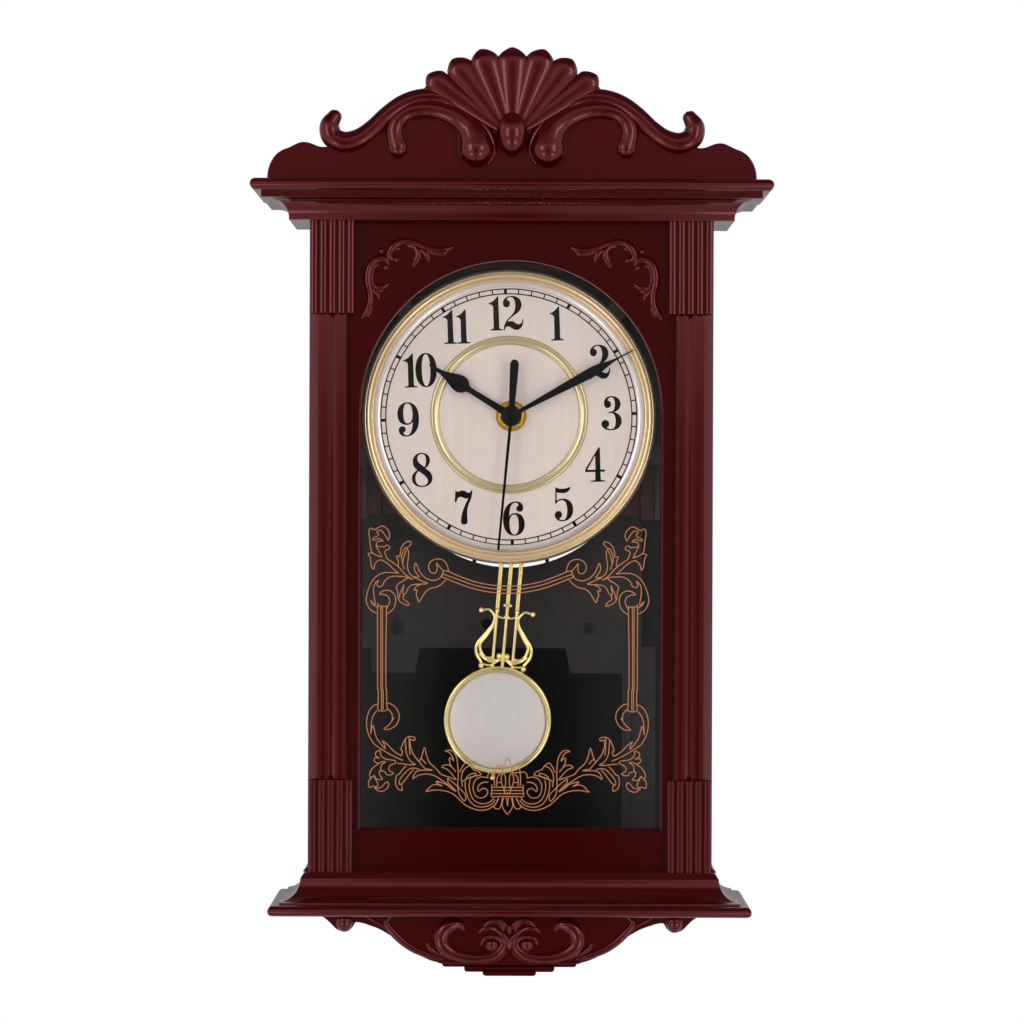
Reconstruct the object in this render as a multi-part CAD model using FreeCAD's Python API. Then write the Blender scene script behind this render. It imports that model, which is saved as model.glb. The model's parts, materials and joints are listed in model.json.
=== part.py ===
"""Pendulum wall clock: moulded case with cornice, carved crest and apron, a quartz
movement with its whole gear train, and a swinging lyre pendulum.

Millimetres. +X is to the viewer's right, the dial faces -Y, +Z is up. The wall is
the plane Y = 0, and the origin is the round hole of the hanger that the wall
screw's head passes through.
"""
import FreeCAD
import Part
import math
import os

Vector = FreeCAD.Vector
BACK = Vector(0, 1, 0)
UP = Vector(0, 0, 1)
RIGHT = Vector(1, 0, 0)

# Fits and small common sizes
seat_gap = 0.3          # between pieces that lie beside each other
running_gap = 0.05      # radial, shaft in its hole
drop_in_gap = 0.1       # radial, a piece that drops into its seat
overrun = 1.0           # how far a cut runs past the face it starts from
sink = 0.4              # how far a raised part starts inside its plate

# Case
case_width = 213.0
case_wall = 3.0
panel_depth = 50.0      # front panel face to the wall
panel_thickness = 3.5
hanger_drop = 27.0      # top of the cornice to the hanging hole
cornice_height = 20.2
cornice_cap = 2.4
column_run = 341.0      # under the cornice to the top of the base moulding
base_height = 21.2
base_floor = 3.0
window_margin = 8.0     # inner face of a shaft to the window
window_bevel = 1.2
sill_height = 21.2      # top of the base moulding to the bottom of the window
head_height = 20.5      # top of the arch to the soffit
arch_lift = 2.3         # centre of the arch above the hands' axis

# Pilasters
shaft_width = 19.5
shaft_proud = 5.0
shaft_chamfer = 4.8
flute_width = 2.2
flute_depth = 1.5
flute_inset = 6.0       # inner edge of the shaft to its flute
quirk_width = 1.7       # narrow groove in the panel beside each shaft
quirk_depth = 1.0
block_width = 23.0
block_proud = 8.0
block_inset = 0.8       # outer face of the case to the block
capital_height = 48.6
plinth_height = 47.0
reed_count = 5
reed_groove = 1.0
reed_depth = 1.2

# Cornice and base moulding, as they stand out from the case
cornice_margin = 0.6    # front panel to the core that the cornice runs round
cornice_bed = 10.4      # soffit edge from the case side
cornice_cove = 10.6
cornice_cove_sag_share = 0.24
cornice_step = 3.0
cornice_lip_height = 6.1
cornice_lip_out = 26.8
cornice_lip_nose = 2.6
base_margin = 8.3       # front panel to the core that the base moulding runs round
base_cove_height = 11.0
base_cove_out = 2.3
base_shoulder_out = 1.0
base_ogee_out = 13.5
base_ogee_drop = 14.5
base_ogee_top_drop = 3.0
base_ogee_top_out = 3.2
base_lip_drop = 15.6
base_lip_out = 16.6
base_lip_nose = 2.6
base_ogee_sag_share = 0.2

# Crest
crest_reach = 127.7     # half of its foot
crest_rise = 69.2
crest_plate = 6.0
crest_set_out = 14.0    # front panel to the back of the crest's plate
crest_stem_proud = 2.4
crest_tube_proud = 3.4
crest_knob_sag = 3.2
lobe_angle_deg = (0.0, 21.5, 39.8, 56.6)
lobe_reach = (35.6, 37.9, 41.0, 46.0)
lobe_radius = (8.6, 7.5, 7.0, 6.3)
lobe_root_radius = 2.0
lobe_root_lift = 5.5
boss_height = 25.0
boss_half_width = 7.3
boss_half_height = 11.5
boss_proud = 9.0
big_knob_radius = 9.4
big_knob_out = 19.1
small_knob_radius = 6.3
small_knob_out = 59.0
knob_height = 16.2

# Apron
apron_reach = 97.5
apron_drop = 32.5
apron_plate = 6.0
apron_set_out = 8.0
apron_stem_proud = 2.2
apron_ball_radius = 5.2
apron_ball_out = 86.4
apron_ball_drop = 5.1
apron_foot_half_widths = (34.5, 23.5, 13.9)
apron_foot_drops = (27.8, 30.5, 32.5)

# Spandrel scrolls
scroll_thickness = 1.8
scroll_knob_sag = 0.9

# Glass and its clips
glass_thickness = 2.0
glass_lap = 5.0
clip_width = 9.0
clip_thickness = 1.0
clip_grip = 3.0
clip_foot = 5.0
clip_heights_share = (0.06, 0.38, 0.7)

# Dial
dial_set_back = 16.0    # front panel's face to the dial's
dial_thickness = 0.8
bezel_gap = 1.2         # window to the bezel all round
bezel_width = 7.2
bezel_lap = 4.8         # outer edge of the bezel to the dial's edge under it
bezel_proud = 4.0
chapter_outer_radius = 42.05
chapter_width = 4.85
chapter_proud = 0.9
pan_thickness = 2.2
pan_lip = 0.6
lug_out = 15.2          # edge of the bezel to the middle of a lug
lug_radius = 5.0
lug_angles_deg = (45.0, 135.0, -15.0, 195.0)
post_radius = 3.5
screw_radius = 1.5
screw_head_radius = 2.9
screw_head_height = 1.8
screw_bite = 6.0

# Hands
hand_thickness = 0.4
hour_hand_short = 23.7  # tip to the dial's edge
hour_hand_half_width = 4.2
hour_hand_angle_deg = 301.8
hour_hand_proud = 4.0   # its front, before the dial's face
minute_hand_short = 0.9
minute_hand_half_width = 2.9
minute_hand_angle_deg = 62.5
minute_hand_proud = 6.2
second_hand_short = 1.3
second_hand_tail = 27.5
second_hand_half_width = 0.75
second_hand_tail_half_width = 2.3
second_hand_angle_deg = 185.1
second_hand_proud = 8.0
hour_hub_radius = 6.0
minute_hub_radius = 5.0
second_hub_radius = 3.6
second_cap_height = 1.2

# Hand-axis stack: arbor, centre pipe, hour pipe, threaded bush
arbor_radius = 0.6
centre_pipe_radius = 1.5
hour_pipe_radius = 2.5
bush_radius = 4.0
bush_proud = 2.9
nut_across_flats = 12.5
nut_height = 1.9
washer_radius = 8.2
washer_thickness = 0.6

# Movement case
movement_thickness = 17.0
movement_half_width = 29.0
movement_wall = 1.5
movement_top = 24.0     # above the hands' axis
movement_shoulder = 42.0  # below the axis, where the case narrows
movement_bottom = 76.0
front_shell_depth = 8.5  # movement's front to the joint of its halves
drive_half_width = 15.0
drive_set_back = 5.0
bay_top = 24.5
bay_bottom = 40.5
cover_screw_inset = 4.2

# Gear train: teeth, axis distances and where each axis stands about the hands' axis
pressure_angle_deg = 20.0
addendum_share = 0.85
dedendum_share = 1.15
backlash_share = 0.16
tooth_root_share = 0.7
cannon_teeth, minute_wheel_teeth = 8, 24
minute_pinion_teeth, hour_wheel_teeth = 8, 32
seconds_pinion_teeth, third_wheel_teeth = 6, 45
third_pinion_teeth, centre_wheel_teeth = 6, 48
intermediate_pinion_teeth, seconds_wheel_teeth = 6, 30
rotor_pinion_teeth, intermediate_wheel_teeth = 6, 36
motion_distance, motion_angle_deg = 10.15, 135.0
third_distance, third_angle_deg = 10.0, -30.0
intermediate_distance, intermediate_angle_deg = 10.2, 75.0
rotor_distance, rotor_angle_deg = 9.0, 5.0
gear_thickness = 1.0
pinion_extra = 0.2
layer_pitch = 1.5       # from one wheel's front to the next
first_layer_gap = 0.3   # front shell to the hour wheel
hour_layer, minute_layer, centre_layer, third_layer, seconds_layer, intermediate_layer = range(6)
pivot_radius = 0.5
wheel_hub_radius = 1.6
pivot_boss_radius = 1.1
pivot_engagement = 0.8
rotor_radius = 2.6
rotor_length = 2.0
rotor_air_gap = 0.5
stator_thickness = 1.0
stator_ring_radius = 5.2
stator_arm_width = 4.0
coil_x = 22.5
coil_half_length = 9.0
coil_radius = 2.9
coil_flange = 0.8
coil_flange_radius = 3.3
board_thickness = 1.0
board_width = 17.0
board_height = 20.0
board_x = -26.8
board_z = -15.5
board_standoff = 1.4
board_post_inset = 5.7
board_post_shares = (0.25, 0.75)
chip_radius = 3.4
chip_height = 0.7
chip_x, chip_z = 11.3, 6.7
crystal_x, crystal_z = 5.7, 13.3
crystal_radius = 1.0
crystal_length = 6.0
knob_shaft_radius = 0.7
knob_radius = 6.0
knob_thickness = 3.0
knob_socket = 1.5
knob_flutes = 12
knob_flute_radius = 0.75

# Battery
battery_length = 50.5
battery_radius = 7.1
battery_wrap_gap = 0.15
battery_nub_radius = 2.75
battery_nub_length = 1.2
contact_thickness = 0.4
contact_half_width = 5.0
contact_root_radius = 2.5
contact_tip_radius = 1.7

# Pendulum drive
pivot_below_axis = 70.0
pin_radius = 1.0
lever_thickness = 2.0
lever_set_back = 2.0    # front of the drive's case to the lever
lever_width = 4.0
lever_hub_radius = 3.0
lever_up = 12.0
spigot_radius = 1.3
spigot_drop = 3.5
spigot_proud = 0.8      # past the front of the rods
spigot_slot_half = 3.6
magnet_radius = 3.5
magnet_thickness = 1.5
drive_coil_radius = 6.5
drive_coil_bore = 2.3
drive_coil_length = 4.3

# Pendulum, measured down from its pivot before it is tilted
swing_deg = 4.88        # the pose it is kept in, to the viewer's left
rod_line_out = 1.1      # the rods hang this far beside the pivot
hanging_plate_width = 13.2
hanging_plate_top = 1.0
hanging_plate_bottom = 7.4
rod_thickness = 1.4
rod_clearance = 1.8     # front of the drive's case to the rods
rod_spacing = 5.35
rod_half_width = 1.15
outer_rod_end = 36.0
middle_rod_end = 34.0
lower_rod_half_width = 0.95
lower_rod_top = 33.6
lower_rod_bottom = 58.6
finial_radius = 1.25
finial_drop = 34.2
lyre_thickness = 1.6
lyre_reach = 14.9
lyre_top = 33.5
lyre_height = 30.0
rail_width = 1.25
thin_rail_share = 0.65
horn_ball_out = 13.9
horn_ball_drop = 34.6
ball_radius = 1.55
foot_ball_out = 11.4
foot_ball_drop = 64.2
twin_knob_out = 2.6
twin_knob_drop = 58.1
twin_knob_radius = 1.4
twin_knob_height = 2.2
curl_out = 1.5
curl_drop = 31.6
curl_radius = 1.05
post_half_width = 1.0
post_top = 56.0
nub_out = 5.4
nub_radius = 0.9
bob_drop = 92.4
bob_ring_radius = 28.6
bob_ring_width = 2.5
bob_ring_thickness = 4.4
bob_ring_proud = 2.0    # past the front of the rods
bob_disc_dome = 2.6
bob_disc_thickness = 1.2
rating_knob_radius = 1.6
rating_neck = 0.8

# Back
cover_thickness = 2.5
cover_front_depth = 6.0
access_radius = 68.4
access_below_axis = 12.7
access_tab_out = 19.7
access_tab_width = 2.0
access_tab_height = 2.6
ledge_size = 9.0
ledge_length = 10.0
ledge_heights_share = (0.03, 0.5, 0.93)
rail_height = 38.0      # solid rail behind the cornice that carries the hanger
rail_thickness = 12.0
hanger_width = 24.0
hanger_height = 38.0
hanger_thickness = 1.2
hanger_hole_radius = 5.0
hanger_slot_half = 2.2
hanger_slot_rise = 9.0
hanger_pocket_depth = 7.0
hanger_pocket_margin = 1.5
hanger_screw_spacing = 28.0
plate_thickness = 2.0
plate_left = 80.0
plate_right = 71.0
plate_top_below_axis = 52.7
plate_bottom_below_axis = 124.6
plate_corner = 8.0
tab_drop = 13.5
tab_left_far, tab_left_near = 75.1, 49.2
tab_right_near, tab_right_far = 29.7, 61.6
tab_taper = 2.5
plate_screw_left, plate_screw_right = 60.0, 42.7
plate_screw_top, plate_screw_bottom = 63.0, 113.8
plate_screw_head = 3.2
plate_hole_radius = 3.0
plate_hole_left, plate_hole_drop = 12.8, 111.8

# Levels and places that follow from the sizes above
half_case = case_width / 2
cornice_top = hanger_drop
case_top = cornice_top - cornice_cap
soffit = cornice_top - cornice_height
base_top = soffit - column_run
base_bottom = base_top - base_height
case_bottom = base_bottom + base_floor
window_half = half_case - shaft_width - window_margin
arch_z = soffit - head_height - window_half
axis_z = arch_z - arch_lift
window_sill = base_top + sill_height
panel_face = -panel_depth
panel_back = panel_face + panel_thickness
glass_back = panel_back + glass_thickness
dial_front_depth = panel_depth - dial_set_back
dial_face = -dial_front_depth
dial_back = dial_face + dial_thickness
pan_back = dial_back + pan_thickness
movement_front = pan_back
movement_back = movement_front + movement_thickness
inner_front = movement_front + movement_wall
inner_back = movement_back - movement_wall
split = movement_front + front_shell_depth
pivot_z = axis_z - pivot_below_axis
cover_front = -cover_front_depth
cover_back = cover_front + cover_thickness
inner_half = half_case - case_wall
rail_bottom = case_top - case_wall - rail_height
access_z = axis_z - access_below_axis
cornice_front = panel_depth + cornice_margin
base_front = panel_depth + base_margin
crest_back_depth = panel_depth + crest_set_out
apron_back_depth = panel_depth + apron_set_out
bezel_radius = window_half - bezel_gap
bezel_inner_radius = bezel_radius - bezel_width
dial_radius = bezel_radius - bezel_lap
chapter_inner_radius = chapter_outer_radius - chapter_width
lug_reach = bezel_radius + lug_out
hour_hand_length = dial_radius - hour_hand_short
minute_hand_length = dial_radius - minute_hand_short
second_hand_length = dial_radius - second_hand_short
hour_hand_depth = dial_front_depth + hour_hand_proud
minute_hand_depth = dial_front_depth + minute_hand_proud
second_hand_depth = dial_front_depth + second_hand_proud
bush_reach_depth = dial_front_depth + bush_proud
drive_front_depth = -movement_front - drive_set_back
lever_front_depth = drive_front_depth - lever_set_back
rod_front_depth = drive_front_depth + rod_clearance + rod_thickness
spigot_front_depth = rod_front_depth + spigot_proud
bob_ring_front_depth = rod_front_depth + bob_ring_proud
drive_coil_front_depth = drive_coil_length - inner_back


def box(x0, x1, y0, y1, z0, z1):
    """A block between two corners."""
    return Part.makeBox(x1 - x0, y1 - y0, z1 - z0, Vector(x0, y0, z0))


def disc(x, z, radius, y0, y1):
    """A round bar along Y."""
    return Part.makeCylinder(radius, y1 - y0, Vector(x, y0, z), BACK)


def ring(x, z, outer, inner, y0, y1):
    """A tube along Y."""
    return disc(x, z, outer, y0, y1).cut(disc(x, z, inner, y0 - overrun, y1 + overrun))


def fuse(shapes):
    """One solid from several that touch or overlap."""
    first, rest = shapes[0], shapes[1:]
    return first.fuse(rest).removeSplitter() if rest else first


def cut(shape, tools):
    """The shape without the tools."""
    return shape.cut(tools) if tools else shape


def spline(points, y):
    """A smooth edge through (x, z) points at one depth."""
    curve = Part.BSplineCurve()
    curve.interpolate([Vector(x, y, z) for x, z in points])
    return curve.toShape()


def line(a, b, y):
    """A straight edge between two (x, z) points at one depth."""
    return Part.makeLine(Vector(a[0], y, a[1]), Vector(b[0], y, b[1]))


def arc(a, middle, b, y):
    """An arc through three (x, z) points at one depth."""
    ends = [Vector(p[0], y, p[1]) for p in (a, middle, b)]
    return Part.Arc(*ends).toShape()


def slab(edges, y0, y1):
    """The outline that the edges close, drawn at depth y0 and taken back to y1."""
    wire = Part.Wire(Part.__sortEdges__(edges))
    return Part.Face(wire).extrude(BACK * (y1 - y0))


def polygon(points, y0, y1):
    """A straight-edged outline in (x, z), from depth y0 to y1."""
    loop = [Vector(x, y0, z) for x, z in points]
    return Part.Face(Part.makePolygon(loop + loop[:1])).extrude(BACK * (y1 - y0))


def turned(profile, x, z):
    """A solid of revolution about the Y axis through (x, z) from (radius, y) points."""
    loop = [Vector(x + radius, y, z) for radius, y in profile]
    face = Part.Face(Part.makePolygon(loop + loop[:1]))
    return face.revolve(Vector(x, 0, z), BACK, 360)


def mirrored(shape):
    """The shape's twin on the other side of the clock's middle plane."""
    return shape.mirror(Vector(0, 0, 0), RIGHT)


def both_sides(shape):
    """A shape and its twin."""
    return [shape, mirrored(shape)]


def polar(x, z, distance, angle_deg):
    """The point at a distance and angle from (x, z), counted from +X towards +Z."""
    angle = math.radians(angle_deg)
    return x + distance * math.cos(angle), z + distance * math.sin(angle)


def stroke(points, widths, y0, y1):
    """A tapering ribbon along (x, z) points with round ends."""
    last = len(points) - 1
    left, right, ways = [], [], []
    for i, (x, z) in enumerate(points):
        before, after = points[max(i - 1, 0)], points[min(i + 1, last)]
        dx, dz = after[0] - before[0], after[1] - before[1]
        length = math.hypot(dx, dz)
        dx, dz = dx / length, dz / length
        half = widths[i] / 2
        left.append((x - dz * half, z + dx * half))
        right.append((x + dz * half, z - dx * half))
        ways.append((dx, dz))
    start, end = points[0], points[-1]
    nose = (end[0] + ways[-1][0] * widths[-1] / 2, end[1] + ways[-1][1] * widths[-1] / 2)
    tail = (start[0] - ways[0][0] * widths[0] / 2, start[1] - ways[0][1] * widths[0] / 2)
    edges = [
        spline(left, y0),
        arc(left[-1], nose, right[-1], y0),
        spline(right, y0),
        arc(right[0], tail, left[0], y0),
    ]
    return slab(edges, y0, y1)


def scaled(shares, reach, rise, x=0, z=0):
    """Points given as shares of a reach and a rise, from (x, z)."""
    return [(x + across * reach, z + along * rise) for across, along in shares]


def dome(x, z, radius, sag, y_face, y_back):
    """A round button: a flat disc from y_back to y_face with a spherical front."""
    ball_radius_here = (radius**2 + sag**2) / (2 * sag)
    centre_y = y_face - sag + ball_radius_here
    ball = Part.makeSphere(ball_radius_here, Vector(x, centre_y, z))
    column = disc(x, z, radius, y_face - sag - overrun, y_face)
    return fuse([ball.common(column), disc(x, z, radius, y_face, y_back)])


def profile_edges(steps, place):
    """Edges through (out, height) steps; a step with two points is an arc."""
    here, edges = place(*steps[0]), []
    for step in steps[1:]:
        if isinstance(step[0], tuple):
            end = place(*step[1])
            edges.append(Part.Arc(here, place(*step[0]), end).toShape())
        else:
            end = place(*step)
            edges.append(Part.makeLine(here, end))
        here = end
    return edges


def run_round(steps, half_width, front_depth):
    """A moulding that runs round the front and both sides, mitred at the corners.

    steps is its profile, as (out from the case, height). The solid is filled in.
    """
    bottom, top = steps[0][1], last_step(steps)[1]
    reach = half_width + front_depth + panel_depth

    def front(out, height):
        return Vector(-reach, -front_depth - out, height)

    def side(out, height):
        return Vector(half_width + out, -reach, height)

    def other_side(out, height):
        return Vector(-half_width - out, -reach, height)

    edges = profile_edges(steps, front)
    low, high = front(*steps[0]), front(*last_step(steps))
    back_low, back_high = Vector(-reach, 0, bottom), Vector(-reach, 0, top)
    edges += [Part.makeLine(high, back_high), Part.makeLine(back_high, back_low)]
    edges.append(Part.makeLine(back_low, low))
    front_run = Part.Face(Part.Wire(Part.__sortEdges__(edges))).extrude(RIGHT * (2 * reach))
    right, left = profile_edges(steps, side), profile_edges(steps, other_side)
    tops = [side(*last_step(steps)), other_side(*last_step(steps))]
    feet = [side(*steps[0]), other_side(*steps[0])]
    edges = right + left + [Part.makeLine(*tops), Part.makeLine(*feet)]
    side_run = Part.Face(Part.Wire(Part.__sortEdges__(edges))).extrude(BACK * reach)
    return front_run.common(side_run)


def last_step(steps):
    """The last (out, height) of a profile."""
    last = steps[-1]
    return last[1] if isinstance(last[0], tuple) else last


def bulge(a, b, share):
    """The middle point of an arc from a to b that bows to the left of a-b by a share of its chord."""
    dx, dz = b[0] - a[0], b[1] - a[1]
    return (a[0] + b[0]) / 2 - dz * share, (a[1] + b[1]) / 2 + dx * share


def window_outline(margin, y):
    """Edges of the arched window, grown by a margin, at one depth."""
    half, radius = window_half + margin, window_half + margin
    low = window_sill - margin
    corners = [(-half, arch_z), (-half, low), (half, low), (half, arch_z)]
    edges = [line(a, b, y) for a, b in zip(corners, corners[1:])]
    return edges + [arc(corners[3], (0, arch_z + radius), corners[0], y)]


def screw(x, z, y_seat, head_radius=screw_head_radius, bite=screw_bite, facing_front=False):
    """A screw along Y whose head sits on y_seat."""
    way = -1 if facing_front else 1
    ends = sorted((y_seat, y_seat + way * screw_head_height))
    head = disc(x, z, head_radius, *ends)
    shank_ends = sorted((y_seat, y_seat - way * bite))
    return fuse([head, disc(x, z, screw_radius, *shank_ends)])


def screw_hole(x, z, y0, y1):
    """The hole that a screw's shank passes through or bites into."""
    return disc(x, z, screw_radius + running_gap, min(y0, y1), max(y0, y1))


# Case and mouldings


def ledge_places():
    """Where the back cover's ledges stand on the side walls."""
    low, high = case_bottom + case_wall, rail_bottom
    return [
        (side * (inner_half - ledge_size / 2), low + share * (high - low))
        for side in (-1, 1)
        for share in ledge_heights_share
    ]


def lug_places():
    """Where the dial pan is screwed to the posts behind the front panel."""
    return [polar(0, axis_z, lug_reach, angle) for angle in lug_angles_deg]


def case_body():
    shell = box(-half_case, half_case, panel_face, 0, case_bottom, case_top)
    hollow = box(
        -inner_half, inner_half, panel_back, overrun, case_bottom + case_wall, case_top - case_wall
    )
    shell = shell.cut(hollow)
    rail = box(-inner_half, inner_half, -rail_thickness, 0, rail_bottom, case_top - case_wall)
    blocks = [
        box(x - ledge_size / 2, x + ledge_size / 2, cover_front - ledge_length, cover_front,
            z - ledge_size / 2, z + ledge_size / 2)
        for x, z in ledge_places()
    ]
    posts = [disc(x, z, post_radius, panel_back, pan_back - pan_thickness) for x, z in lug_places()]
    shell = fuse([shell, rail] + blocks + posts)
    window = slab(window_outline(0, panel_face - overrun), panel_face - overrun, panel_back + overrun)
    tools = [window]
    tools += [screw_hole(x, z, cover_front - screw_bite - overrun, cover_front) for x, z in ledge_places()]
    tools += [
        screw_hole(x, z, pan_back - pan_thickness - screw_bite, pan_back) for x, z in lug_places()
    ]
    quirk_outer = half_case - shaft_width
    quirk = box(quirk_outer - quirk_width, quirk_outer, panel_face - overrun, panel_face + quirk_depth,
                base_top + plinth_height, soffit - capital_height)
    tools += both_sides(quirk)
    tools.append(hanger_recess())
    shell = cut(shell, tools)
    return bevel_window(shell)


def bevel_window(shell):
    """Chamfers the window's front edge."""
    edges = []
    for edge in shell.Edges:
        box_here = edge.BoundBox
        flat = abs(box_here.YMin - panel_face) < running_gap and box_here.YLength < running_gap
        inside = max(abs(box_here.XMin), abs(box_here.XMax)) < window_half + running_gap
        if flat and inside and box_here.ZMin > window_sill - running_gap:
            edges.append(edge)
    return shell.makeChamfer(window_bevel, edges)


def hanger_recess():
    """Room in the rail for the hanger plate, its screws and the wall screw's head."""
    seat = hanger_outline(-hanger_thickness, overrun, drop_in_gap)
    half = hanger_hole_radius + hanger_pocket_margin
    top = hanger_slot_rise + half
    pocket = box(-half, half, -hanger_thickness - hanger_pocket_depth, 0, -half, top)
    holes = [
        screw_hole(0, z, -rail_thickness + running_gap, 0) for z in hanger_screw_places()
    ]
    return fuse([seat, pocket] + holes)


def hanger_centre_z():
    """Middle of the hanger plate."""
    return hanger_slot_rise / 2


def hanger_screw_places():
    """Heights of the hanger's two screws."""
    return [hanger_centre_z() + side * hanger_screw_spacing / 2 for side in (-1, 1)]


def hanger_outline(y0, y1, margin):
    """The hanger plate with round ends."""
    half = hanger_width / 2 + margin
    run = hanger_height / 2 - hanger_width / 2
    middle = hanger_centre_z()
    ends = [disc(0, middle + side * run, half, y0, y1) for side in (-1, 1)]
    return fuse(ends + [box(-half, half, y0, y1, middle - run, middle + run)])


def hanger_plate():
    plate = hanger_outline(-hanger_thickness, 0, 0)
    y0, y1 = -hanger_thickness - overrun, overrun
    slot = fuse([
        disc(0, hanger_slot_rise, hanger_slot_half, y0, y1),
        box(-hanger_slot_half, hanger_slot_half, y0, y1, 0, hanger_slot_rise),
    ])
    tools = [disc(0, 0, hanger_hole_radius, y0, y1), slot]
    tools += [countersunk(z, drop_in_gap) for z in hanger_screw_places()]
    return cut(plate, tools)


def countersunk(z, margin):
    """The conical head of a hanger screw, or its seat when a margin is added."""
    small, large = screw_radius + margin, screw_head_radius + margin
    return Part.makeCone(small, large, hanger_thickness, Vector(0, -hanger_thickness, z), BACK)


def hanger_screws():
    shanks = []
    for z in hanger_screw_places():
        shank = disc(0, z, screw_radius, -screw_bite, -hanger_thickness)
        shanks.append(fuse([countersunk(z, 0), shank]))
    return Part.makeCompound(shanks)


def pilaster():
    """Right-hand fluted shaft, between its two reeded blocks."""
    low, high = base_top + plinth_height, soffit - capital_height
    inner = half_case - shaft_width
    face = panel_face - shaft_proud
    body = box(inner, half_case, face, panel_face, low, high)
    corner = [(half_case - shaft_chamfer, face), (half_case, face + shaft_chamfer), (half_case, face)]
    loop = [Vector(x, y, low) for x, y in corner]
    bevel = Part.Face(Part.makePolygon(loop + loop[:1])).extrude(UP * (high - low))
    flute = box(inner + flute_inset, inner + flute_inset + flute_width, face, face + flute_depth,
                low, high)
    return cut(body, [bevel, flute])


def reeded_block(low, high):
    """Right-hand block with five upright reeds."""
    outer = half_case - block_inset
    inner = outer - block_width
    face = panel_face - block_proud
    body = box(inner, outer, face, panel_face, low, high)
    reed = (block_width - (reed_count - 1) * reed_groove) / reed_count
    grooves = []
    for i in range(1, reed_count):
        start = inner + i * reed + (i - 1) * reed_groove
        grooves.append(box(start, start + reed_groove, face, face + reed_depth, low, high))
    return cut(body, grooves)


def cornice():
    top_out = cornice_lip_out
    cove_low, cove_high = soffit, soffit + cornice_cove
    cove_out = cornice_bed + cornice_cove
    lip_low = cornice_top - cornice_lip_height
    bed, edge = (cornice_bed, cove_low), (cove_out, cove_high)
    nose = (top_out + cornice_lip_nose, (lip_low + cornice_top) / 2)
    steps = [
        bed,
        (bulge(bed, edge, cornice_cove_sag_share), edge),
        (cove_out + cornice_step, cove_high),
        (cove_out + cornice_step, lip_low),
        (top_out, lip_low),
        (nose, (top_out, cornice_top)),
    ]
    solid = run_round(steps, half_case, cornice_front)
    inside = box(-half_case, half_case, panel_face, overrun, soffit - overrun, case_top)
    return solid.cut(inside)


def base_moulding():
    cove_foot = (base_cove_out, base_top)
    ogee_top = (base_ogee_top_out, base_top - base_ogee_top_drop)
    ogee_foot = (base_ogee_out, base_top - base_ogee_drop)
    lip_top = base_top - base_lip_drop
    nose = (base_lip_out + base_lip_nose, (lip_top + base_bottom) / 2)
    steps = [
        (base_lip_out, base_bottom),
        (nose, (base_lip_out, lip_top)),
        (base_ogee_out, lip_top),
        ogee_foot,
        (bulge(ogee_foot, ogee_top, base_ogee_sag_share), ogee_top),
        (base_shoulder_out, base_top),
    ]
    lower = run_round(steps, half_case, base_front)
    sides = case_cove(cove_foot)
    high = base_top + 2 * base_cove_height
    inside = box(-half_case, half_case, panel_face, overrun, case_bottom, high)
    in_front = box(-case_width, case_width, -case_width, panel_face, base_top, high)
    return fuse([lower, sides]).cut(fuse([inside, in_front]))


def case_cove(foot):
    """The small hollow moulding where the case's sides meet the base's ledge."""
    head = (0, base_top + base_cove_height)
    steps = [(foot[0], base_top - sink), foot, (bulge(foot, head, base_ogee_sag_share), head)]
    return run_round(steps, half_case, panel_depth)


# Carved ornament


crest_foot_shares = [
    (1.0, 0.0), (0.985, 0.104), (0.951, 0.195), (0.901, 0.24), (0.866, 0.273),
    (0.838, 0.276), (0.81, 0.254), (0.778, 0.247),
]
crest_tail_shares = [
    (0.778, 0.247), (0.789, 0.364), (0.768, 0.48), (0.732, 0.526), (0.701, 0.468),
    (0.687, 0.403), (0.648, 0.387),
]
crest_shoulder_shares = [
    (0.648, 0.387), (0.592, 0.435), (0.536, 0.526), (0.472, 0.617), (0.417, 0.669), (0.36, 0.684),
]
crest_stem_shares = [
    (0.086, 0.429), (0.135, 0.535), (0.226, 0.639), (0.298, 0.67), (0.36, 0.64),
    (0.475, 0.55), (0.564, 0.43), (0.65, 0.3), (0.72, 0.235), (0.76, 0.32), (0.737, 0.45),
]
crest_stem_width_shares = (0.05, 0.08, 0.1, 0.11, 0.11, 0.115, 0.12, 0.14, 0.15, 0.12, 0.08)
crest_tube_shares = [
    (0.172, 0.376), (0.241, 0.48), (0.34, 0.535), (0.438, 0.48), (0.482, 0.376), (0.468, 0.29),
]
crest_tube_width_shares = (0.1, 0.15, 0.165, 0.165, 0.14, 0.1)


def lobe_tips():
    """Centres of the shell's lobes, from the middle one to the right."""
    middle = cornice_top + boss_height
    return [polar(0, middle, reach, 90 - angle) for reach, angle in zip(lobe_reach, lobe_angle_deg)]


def shell_lobe(tip, radius, y_back):
    """A lobe that swells from the boss to a round end, its axis on the crest's back."""
    root = Vector(0, y_back - lobe_root_lift, cornice_top + boss_height)
    end = Vector(tip[0], y_back, tip[1])
    way = end - root
    cone = Part.makeCone(lobe_root_radius, radius, way.Length, root, way)
    return fuse([cone, Part.makeSphere(radius, end)])


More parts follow.
